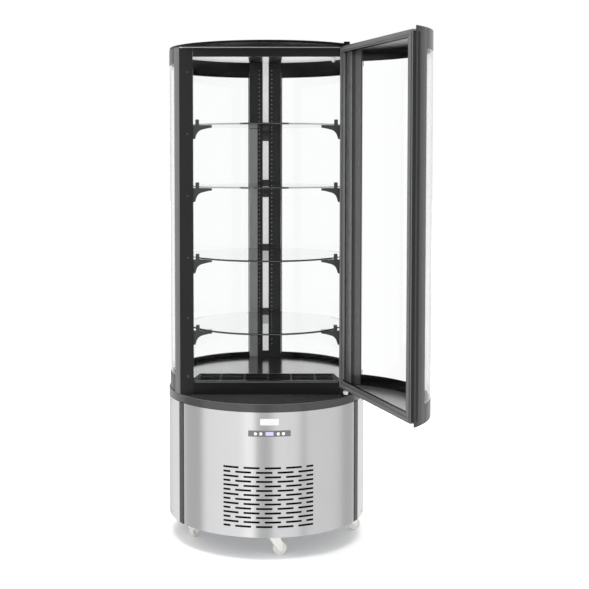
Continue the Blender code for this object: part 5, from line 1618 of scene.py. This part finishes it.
@dataclass
class Shelving(Assembly):
    """The four round glass shelves and the slotted rails that carry them at the posts."""

    radius: float = 0.2713
    edge_half: float = 0.0010
    edge_angle: float = math.radians(88.0)
    rail_x: float = 0.24714
    rail_y: float = -0.164
    rail_heights: Point2 = (0.600, 1.600)

    def build(self) -> None:
        """Build and dress the shelves and the side rails."""
        half, radii = SHELF_THICKNESS / 2.0, (self.radius - 0.0001, self.radius + 0.0002)
        for number, middle in enumerate(SHELF_MIDDLES, start=1):
            low, high = middle - half, middle + half
            disc = rod(f"glass_shelf_{number}", self.radius, low, high, ROUND_SIDES)
            self.deliver(eased(disc, 0.0009), f"shelf_{number}", "shelf_glass")
            heights = (middle - self.edge_half, middle + self.edge_half)
            name = f"shelf_edge_{number}"
            edge = hoop(name, radii, heights, -self.edge_angle, self.edge_angle)
            self.add(edge, f"shelf_{number}", "glass_edge")
        for name, side in (("left", -1.0), ("right", 1.0)):
            back, heights = side * self.rail_x, self.rail_heights
            rail = ShelfRail(self.rail_y, back, -side, Facing.FRONT, *heights)
            names = (f"side_rail_{name}", f"side_brackets_{name}")
            rail.put_up(self, f"bracket_rail_{name}", names, "bracket_black")


@dataclass
class ColdFloor(Assembly):
    """The oval steel plate and the return grille before it."""

    half_width: float = 0.275
    rear: float = 0.312
    front: float = DOOR_PLANE_Y + 0.1345 + PLAY
    shoulder_y: float = DOOR_PLANE_Y + 0.056
    shoulder: float = FACE_INNER_X - 0.001 + 2.0 * PLAY
    corner: float = FACE_INNER_X - 0.0135 + 2.0 * PLAY
    low: float = 0.5549
    thickness: float = 0.0017
    oval_facets: int = 120

    def build(self) -> None:
        """Build and dress the floor of the cold space."""
        start = math.asin(self.shoulder_y / self.rear)
        end = HALF_TURN - start
        outline = []
        for step in range(self.oval_facets + 1):
            angle = start + (end - start) * step / self.oval_facets
            outline.append((self.half_width * math.cos(angle), self.rear * math.sin(angle)))
        outline += [
            (-self.shoulder, self.shoulder_y),
            (-self.corner, self.front),
            (self.corner, self.front),
            (self.shoulder, self.shoulder_y),
        ]
        plate = prism("steel_floor", outline, self.low, self.low + self.thickness)
        near = (COLUMN_LEFT - PLAY, COLUMN_FRONT - PLAY, self.low - BEYOND)
        far = (COLUMN_RIGHT + PLAY, DRUM_RADIUS, self.low + BEYOND)
        changed(plate, block("notch", near, far))
        self.deliver(eased(plate, 0.0004), "floor_plate", "plate_steel")
        self.refine("air_grille", "return_grille", "grille_black", 0.0005)


@dataclass
class Door(Assembly):
    """The bulging door, modelled shut and turned open about its pivot."""

    BODY: ClassVar[str] = "door"
    PLACE: ClassVar[Matrix] = AT_DOOR

    stile_thickness: float = 0.004
    shell_low: float = 0.527
    shell_high: float = 1.680
    stile_end_y: float = -0.1965
    stile_face: float = 0.0635
    hinge_inset: float = 0.0045
    fold: float = 0.0072
    band_thickness: float = 0.006
    bands: tuple[tuple[str, Point2, Point2], ...] = (
        ("top", (1.656, 1.666), (1.620, 1.680)),
        ("bottom", (0.541, 0.549), (0.527, 0.585)),
    )
    hole_radius: float = 0.0043
    notch: tuple[float, float, float] = (0.024, 1.667, 1.690)
    glass_sheet: float = 0.003
    glass_inset: float = 0.0005
    glass_heights: Point2 = (0.5853, 1.6197)
    ring_front: float = -0.1963
    opening: tuple[float, float, float, float] = (-0.2584, 0.24514, 0.5655, 1.649)
    hollow_radius: float = SHELL_RADIUS - 0.0075
    hollow_margin: float = 0.02
    hollow_half: float = HALF_OPENING - 0.030
    hollow_front: float = -0.1975
    # The dark strips of painted shadow in the gap at the ring's inner edges.
    liner_x: Point2 = (-0.0003, 0.0002)
    liner_front: Point2 = (-0.1952, -0.1914)
    liner_rear: Point2 = (-0.1870, -0.1850)
    liner_heights: Point2 = (0.0050, 0.0040)
    liner_overlap: float = 0.0002
    liner_start: float = 0.001
    plates: tuple[tuple[str, float, float], ...] = (
        ("top", 1.6553, 1.6560),
        ("bottom", 0.5490, 0.5497),
    )
    # Both finishes are paler greys that paint the reflection on the hinge upright.
    channel: tuple[tuple[str, str, float, float], ...] = (
        ("hinge_channel", "channel_grey", 49.9, 53.4),
        ("pane_clamp", "lining_grey", 44.5, 47.9),
    )
    channel_depth: float = 0.0016
    channel_heights: Point2 = (0.5500, 1.6550)
    # The black strips of painted shadow along the latch-side edge.
    edge_shadow_margin: float = 0.016
    edge_shadow_proud: float = 0.0004
    edge_shadow_depth: Point2 = (-0.1958, -0.1862)
    edge_shadow_angles: Point2 = (math.radians(0.1), math.radians(2.2))
    end_angle: float = field(init=False)
    face_angle: float = field(init=False)

    def __post_init__(self) -> None:
        """Find where the stiles begin and end on the shell."""
        self.end_angle = math.acos((self.fold - self.stile_end_y) / SHELL_RADIUS)
        self.face_angle = self.end_angle - self.stile_face / SHELL_RADIUS

    def build(self) -> None:
        """Build and dress the door."""
        # The ring's paler grey is a painted reflection.
        self.refine("door_frame", "door_ring", "ring_grey", 0.0008)
        self.refine("door_gasket", "door_seal", "seal_grey", 0.0011)
        self._hollow()
        self._channel()
        self._gap_shadows()
        self._latch_edge_shadows()
        self._rails()
        self._stiles()
        self._glass()

    def _hollow(self) -> None:
        """Pale plates on the rails inside the door's hollow, above and below: a painted reflection
        on the rails' inner faces, whose metal also reflects.
        """
        end, front, half = self.face_angle - self.hollow_margin, self.hollow_front, self.hollow_half
        outline = [*arc(self.hollow_radius, -end, end), (half, front), (-half, front)]
        for name, low, high in self.plates:
            self.add(prism(f"hollow_{name}", outline, low, high), f"door_{name}", "hollow_grey")

    def _channel(self) -> None:
        """The channel and the clamp of the pane along the hinge upright, in paler greys that are a
        painted reflection.
        """
        inner = SHELL_RADIUS - self.stile_thickness
        radii = (inner - self.channel_depth, inner)
        for name, finish, start, end in self.channel:
            ends = (math.radians(start), math.radians(end))
            bar = eased(hoop(name, radii, self.channel_heights, *ends, STRIP_STEP), 0.0005)
            self.add(bar, "door_stile_hinge", finish)

    def _gap_shadows(self) -> None:
        """Dark strips along the ring's opening on three sides, a painted shadow in the gap at the
        ring's inner edges.
        """
        left, right, foot, head = self.opening
        left += self.liner_start
        (low_x, high_x), over = self.liner_x, self.liner_overlap
        (front, behind), (near, rear) = self.liner_front, self.liner_rear
        rise, fall = self.liner_heights
        gap_shadows = (
            ("hinge", (right + low_x, front, foot), (right + high_x, behind, head)),
            ("foot", (left, near, foot - over), (right, rear, foot + rise)),
            ("head", (left, near, head - fall), (right, rear, head + over)),
        )
        for name, corner, far_corner in gap_shadows:
            self.add(block(f"ring_liner_{name}", corner, far_corner), "door_frame", "band_black")

    def _latch_edge_shadows(self) -> None:
        """The two black strips along the latch side's edge, one on the ring, one on the upright: a
        painted shadow on the faces of that edge.
        """
        low, high = self.shell_low + self.edge_shadow_margin, self.shell_high - self.edge_shadow_margin
        x, (front, rear) = -HALF_OPENING, self.edge_shadow_depth
        near, far = (x - self.edge_shadow_proud, front, low), (x + 0.0001, rear, high)
        self.add(block("ring_edge_seal", near, far), "door_frame", "seal_rubber")
        radii = (SHELL_RADIUS - 0.0002, SHELL_RADIUS + self.edge_shadow_proud)
        start, end = (angle - self.end_angle for angle in self.edge_shadow_angles)
        strip = hoop("latch_edge_seal", radii, (low, high), start, end, STRIP_STEP)
        self.add(strip, "door_stile_latch", "seal_rubber")

    def _rails(self) -> None:
        """The flat segment and the curved band at the top and at the foot of the door."""
        back, side = self.ring_front - PLAY, self.stile_thickness + PLAY
        outline = [
            *arc(SHELL_RADIUS - side, -self.end_angle, self.end_angle),
            (HALF_OPENING - self.hinge_inset - side, back),
            (side - HALF_OPENING, back),
        ]
        angle = self.face_angle - PLAY / SHELL_RADIUS
        radii = (SHELL_RADIUS - self.band_thickness, SHELL_RADIUS)
        for name, (low, high), heights in self.bands:
            rail = prism(f"door_rail_{name}", outline, low, high)
            band = eased(hoop("band", radii, heights, -angle, angle), 0.0007)
            changed(rail, band, Cut.TOGETHER)
            hole = rod("hole", self.hole_radius, low - BEYOND, high + BEYOND)
            self.deliver(changed(rail, moved(hole, AT_PIVOT)), f"door_{name}", "band_black")

    def _stiles(self) -> None:
        """The two uprights, which curve with the pane and fold back to the ring."""
        thick, end_y = self.stile_thickness, self.stile_end_y
        rows = (("latch", -1.0, -HALF_OPENING), ("hinge", 1.0, HALF_OPENING - self.hinge_inset))
        for name, side, end_x in rows:
            near, far = side * self.face_angle, side * self.end_angle
            outline = [
                *arc(SHELL_RADIUS, near, far, STRIP_STEP),
                (end_x, end_y),
                (end_x - side * thick, end_y),
                *arc(SHELL_RADIUS - thick, far, near, STRIP_STEP),
            ]
            stile = prism(f"door_upright_{name}", outline, self.shell_low, self.shell_high)
            eased(stile, 0.0007)
            if name == "hinge":
                changed(stile, moved(rod("notch", *self.notch, 64), AT_PIVOT))
            self.deliver(stile, f"door_stile_{name}", "stile_black")

    def _glass(self) -> None:
        """The curved pane between the bands and the stiles."""
        outer = SHELL_RADIUS - self.glass_inset
        angle = self.face_angle - PLAY / SHELL_RADIUS
        radii = (outer - self.glass_sheet, outer)
        pane = hoop("door_pane", radii, self.glass_heights, -angle, angle, PANEL_STEP)
        self.deliver(pane, "door_glass", "door_glass")


@dataclass
class LowerPivot(Assembly):
    """The pale bush on the deck and the steel pin in it."""

    PLACE: ClassVar[Matrix] = AT_AXIS @ AT_PIVOT

    bush_radius: float = 0.0090
    bush_middle: float = 0.5222
    extras: tuple[tuple[str, str, tuple[Point2, ...]], ...] = (
        (
            "pivot_neck", "moulded_black",
            ((0.0, 0.5407), (0.0058, 0.5407), (0.0062, 0.5403), (0.0062, 0.5290), (0.0, 0.5290)),
        ),
        (
            "pivot_foot", "moulded_black",
            ((0.0, 0.5150), (0.0062, 0.5150), (0.0086, 0.5130), (0.0086, 0.5113), (0.0, 0.5113)),
        ),
        (
            "pivot_pin", "screw_steel",
            ((0.0, 0.5600), (0.0034, 0.5600), (0.0040, 0.5594), (0.0040, 0.5400), (0.0, 0.5400)),
        ),
    )

    def build(self) -> None:
        """Build and dress the pivot."""
        radius, middle = self.bush_radius, self.bush_middle
        bush = [(0.0, middle + radius)]
        for step in range(1, 18):
            angle = step * TURN / 36.0
            bush.append((radius * math.sin(angle), middle + radius * math.cos(angle)))
        bush.append((0.0, middle - radius))
        self.deliver(turned("pivot_bush", bush), "lower_hinge_pin", "white_plastic")
        for name, finish, profile in self.extras:
            self.add(turned(name, profile), "lower_hinge_pin", finish)


@dataclass
class Machinery(Assembly):
    """What cools the case, in the drum and in the well."""

    plain: tuple[tuple[str, str, str, float, str], ...] = (
        ("base_pan", "pan", "zinc_sheet", 0.0, "case"),
        ("condenser", "condenser_block", "fin_black", 0.0002, "case"),
        ("condenser_fan_shroud", "fan_shroud", "moulded_black", 0.0004, "case"),
        ("condenser_fan", "condenser_blades", "zinc_sheet", 0.0003, "condenser_fan"),
        ("evaporator_well", "cold_well", "foam_grey", 0.001, "case"),
        ("evaporator_coil", "coil_block", "fin_silver", 0.0002, "case"),
        ("evaporator_fan_plate", "fan_plate", "zinc_sheet", 0.0004, "case"),
        ("evaporator_fan", "evaporator_blades", "white_plastic", 0.0003, "evaporator_fan"),
    )
    pot_radius: float = 0.078
    pot_base: float = 0.0783
    pot_height: float = 0.165
    pot_place: Point2 = (-0.075, 0.120)
    dome_facets: int = 15
    seam_share: float = 0.52
    seam_proud: float = 0.0022
    foot_radius: float = 0.090
    foot_height: float = 0.006

    def build(self) -> None:
        """Build and dress the machinery, with the welded pot and its round foot."""
        for row in self.plain:
            self.refine(*row)
        base, radius, rise = self.pot_base, self.pot_radius, self.pot_radius / 2.0
        dome = base + self.pot_height - rise
        profile = [(0.0, base + self.pot_height)]
        for step in range(1, self.dome_facets):
            angle = QUARTER_TURN * step / self.dome_facets
            profile.append((radius * math.sin(angle), dome + rise * math.cos(angle)))
        seam = base + self.pot_height * self.seam_share
        foot = base + self.foot_height
        profile += [
            (radius, dome),
            (radius, seam + 0.004),
            (radius + self.seam_proud, seam + 0.003),
            (radius + self.seam_proud, seam - 0.003),
            (radius, seam - 0.004),
            (radius, foot),
            (self.foot_radius, foot),
            (self.foot_radius, base),
            (0.0, base),
        ]
        place = AT_AXIS @ shift(*self.pot_place)
        pot = turned("compressor_pot", profile, 96)
        self.deliver(pot, "compressor", "pot_black", place=place)


@dataclass
class Studio:
    """The camera, the pale floor and the soft light about the case."""

    camera_y: float = -4.038
    camera_height: float = 1.308
    pitch: float = math.radians(2.96)
    lens: float = 70.95
    sensor: float = 36.0
    aim_shift: Point2 = (0.0474, -0.1324)
    far: float = 100.0
    white: tuple[float, float, float, float] = (1.0, 1.0, 1.0, 1.0)
    diffuse: float = 1.0
    gloss: float = 1.25
    cards: tuple[Point2, ...] = (
        (-180.0, 0.56), (-150.0, 0.80), (-138.0, 0.92), (-116.0, 0.90), (-109.0, 0.54),
        (-84.0, 0.50), (-75.0, 0.92), (-30.0, 0.97), (-22.0, 1.18), (-16.0, 1.18),
        (-10.0, 0.62), (-6.0, 0.54), (3.0, 0.54), (10.0, 0.90), (34.0, 0.86),
        (40.0, 0.74), (43.0, 0.52), (46.0, 0.66), (50.0, 0.77), (86.0, 0.74),
        (96.0, 0.66), (102.0, 0.52), (121.0, 0.52), (128.0, 0.92), (150.0, 0.94),
        (180.0, 0.62),
    )
    floor_size: float = 60.0
    floor_grey: float = 0.95
    floor_roughness: float = 0.9
    floor_specular: float = 0.1
    floor_lift: float = 0.05
    key: float = 12.0
    key_size: float = 2.4
    key_place: Point3 = (-2.2, -2.6, 3.6)
    key_target: Point3 = (0.0, 0.0, 0.9)
    overhead: float = 2.4
    overhead_place: Point3 = (0.0, 0.0, 4.0)
    overhead_angle: float = math.radians(36.0)
    overhead_tilt: float = math.radians(2.0)

    def build(self) -> None:
        """Build the studio."""
        self._camera()
        self._world()
        self._floor()
        self._lamps()
        bpy.context.scene.view_settings.view_transform = "Standard"

    def _camera(self) -> None:
        """The camera, level with the upper shelves."""
        data = bpy.data.cameras.new("camera")
        data.lens = self.lens
        data.sensor_width = self.sensor
        data.shift_x, data.shift_y = self.aim_shift
        data.clip_end = self.far
        camera = linked("camera", data)
        camera.location = (AXIS_X, AXIS_Y + self.camera_y, self.camera_height)
        camera.rotation_euler = (QUARTER_TURN - self.pitch, 0.0, 0.0)
        bpy.context.scene.camera = camera

    def _fill_ramp(self, ramp: bpy.types.ColorRamp) -> None:
        """Set the brightness of the cards on a ramp that runs once round the case."""
        stops = ramp.elements
        for number, (angle, level) in enumerate(self.cards):
            place = angle / 360.0 + 0.5
            if number == 0:
                stop = stops[0]
            elif number == len(self.cards) - 1:
                stop = stops[len(stops) - 1]
            else:
                stop = stops.new(place)
            stop.position = place
            stop.color = (*([level / self.gloss] * 3), 1.0)

    def _world(self) -> None:
        """White to the eye and through glass, a ring of cards to gloss, even light to the rest."""
        world = bpy.data.worlds.new("studio")
        bpy.context.scene.world = world
        world.use_nodes = True
        graph = Graph(world.node_tree)
        graph.tree.nodes.clear()
        out = graph.add("OutputWorld")
        where = graph.add("TexCoord")
        parts = graph.add("SeparateXYZ")
        around = graph.add("Math", operation="ARCTAN2")
        back = graph.add("Math", {1: -1.0}, operation="MULTIPLY")
        share = graph.add("MapRange", {"From Min": -math.pi, "From Max": math.pi})
        ramp = graph.add("ValToRGB")
        self._fill_ramp(ramp.color_ramp)
        gloss = graph.add("Background", {"Strength": self.gloss})
        plain = graph.add("Background", {"Color": self.white, "Strength": self.diffuse})
        white = graph.add("Background", {"Color": self.white, "Strength": 1.0})
        path = graph.add("LightPath")
        seen = graph.add("Math", operation="MAXIMUM")
        by_gloss = graph.add("MixShader")
        by_eye = graph.add("MixShader")
        graph.wire(
            (where.outputs["Generated"], parts.inputs[0]),
            (parts.outputs["Y"], back.inputs[0]),
            (parts.outputs["X"], around.inputs[0]),
            (back.outputs[0], around.inputs[1]),
            (around.outputs[0], share.inputs["Value"]),
            (share.outputs["Result"], ramp.inputs["Fac"]),
            (ramp.outputs["Color"], gloss.inputs["Color"]),
            (path.outputs["Is Glossy Ray"], by_gloss.inputs["Fac"]),
            (plain.outputs[0], by_gloss.inputs[1]),
            (gloss.outputs[0], by_gloss.inputs[2]),
            (path.outputs["Is Camera Ray"], seen.inputs[0]),
            (path.outputs["Is Transmission Ray"], seen.inputs[1]),
            (seen.outputs[0], by_eye.inputs["Fac"]),
            (by_gloss.outputs[0], by_eye.inputs[1]),
            (white.outputs[0], by_eye.inputs[2]),
            (by_eye.outputs[0], out.inputs["Surface"]),
        )

    def _floor(self) -> None:
        """A wide pale floor that keeps the case's shadow and is plain white through glass."""
        settle()
        bpy.ops.mesh.primitive_grid_add(
            x_subdivisions=8, y_subdivisions=8, size=self.floor_size, location=(0.0, 0.0, 0.0)
        )
        floor = bpy.context.active_object
        floor.name = "studio_floor"
        floor.visible_glossy = False
        material = bpy.data.materials.new("studio_floor")
        material.use_nodes = True
        graph = Graph(material.node_tree)
        shader = graph.tree.nodes["Principled BSDF"]
        grey = (*([self.floor_grey] * 3), 1.0)
        fill(shader, {"Base Color": grey, "Roughness": self.floor_roughness})
        fill(shader, {"Specular IOR Level": self.floor_specular, "Emission Color": self.white})
        path = graph.add("LightPath")
        lift = graph.add("Math", {1: self.floor_lift}, operation="MULTIPLY")
        white = graph.add("Emission", {"Color": self.white, "Strength": 1.0})
        through = graph.add("MixShader")
        graph.wire(
            (path.outputs["Is Camera Ray"], lift.inputs[0]),
            (lift.outputs[0], shader.inputs["Emission Strength"]),
            (path.outputs["Is Transmission Ray"], through.inputs["Fac"]),
            (shader.outputs[0], through.inputs[1]),
            (white.outputs[0], through.inputs[2]),
            (through.outputs[0], graph.tree.nodes["Material Output"].inputs["Surface"]),
        )
        floor.data.materials.append(material)

    @staticmethod
    def _lamp(name: str, kind: str, place: Point3, **settings: Any) -> Piece:
        """A lamp that gloss doesn't show, with its own settings."""
        data = bpy.data.lights.new(name, kind)
        for key, setting in settings.items():
            setattr(data, key, setting)
        lamp = linked(name, data)
        lamp.location = place
        lamp.visible_glossy = False
        return lamp

    def _lamps(self) -> None:
        """A wide soft lamp over the front left, and a soft light from above the case."""
        wide = {"shape": "RECTANGLE", "size": self.key_size, "size_y": self.key_size}
        key = self._lamp("key", "AREA", self.key_place, energy=self.key, **wide)
        aim = Vector(self.key_target) - key.location
        key.rotation_euler = aim.to_track_quat("-Z", "Y").to_euler()
        sun = {"energy": self.overhead, "angle": self.overhead_angle}
        lamp = self._lamp("overhead", "SUN", self.overhead_place, **sun)
        lamp.rotation_euler = (self.overhead_tilt, 0.0, 0.0)


def main() -> None:
    """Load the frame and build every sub-assembly."""
    logging.basicConfig(level=logging.INFO, format="%(name)s: %(message)s")
    drop(*bpy.data.objects)
    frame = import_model()
    Studio().build()
    groups = SurfaceGroups()
    finishes = {finish.name: finish.made(groups) for finish in FINISHES}
    assemblies = (
        BaseDrum,
        ControlStrip,
        Casters,
        CaseFrame,
        CaseGlass,
        RearColumn,
        Shelving,
        ColdFloor,
        Door,
        LowerPivot,
        Machinery,
    )
    for assembly in assemblies:
        LOG.info("building %s", assembly.__name__)
        assembly(frame["nodes"], finishes).build()
    settle()


if __name__ == "__main__":
    main()
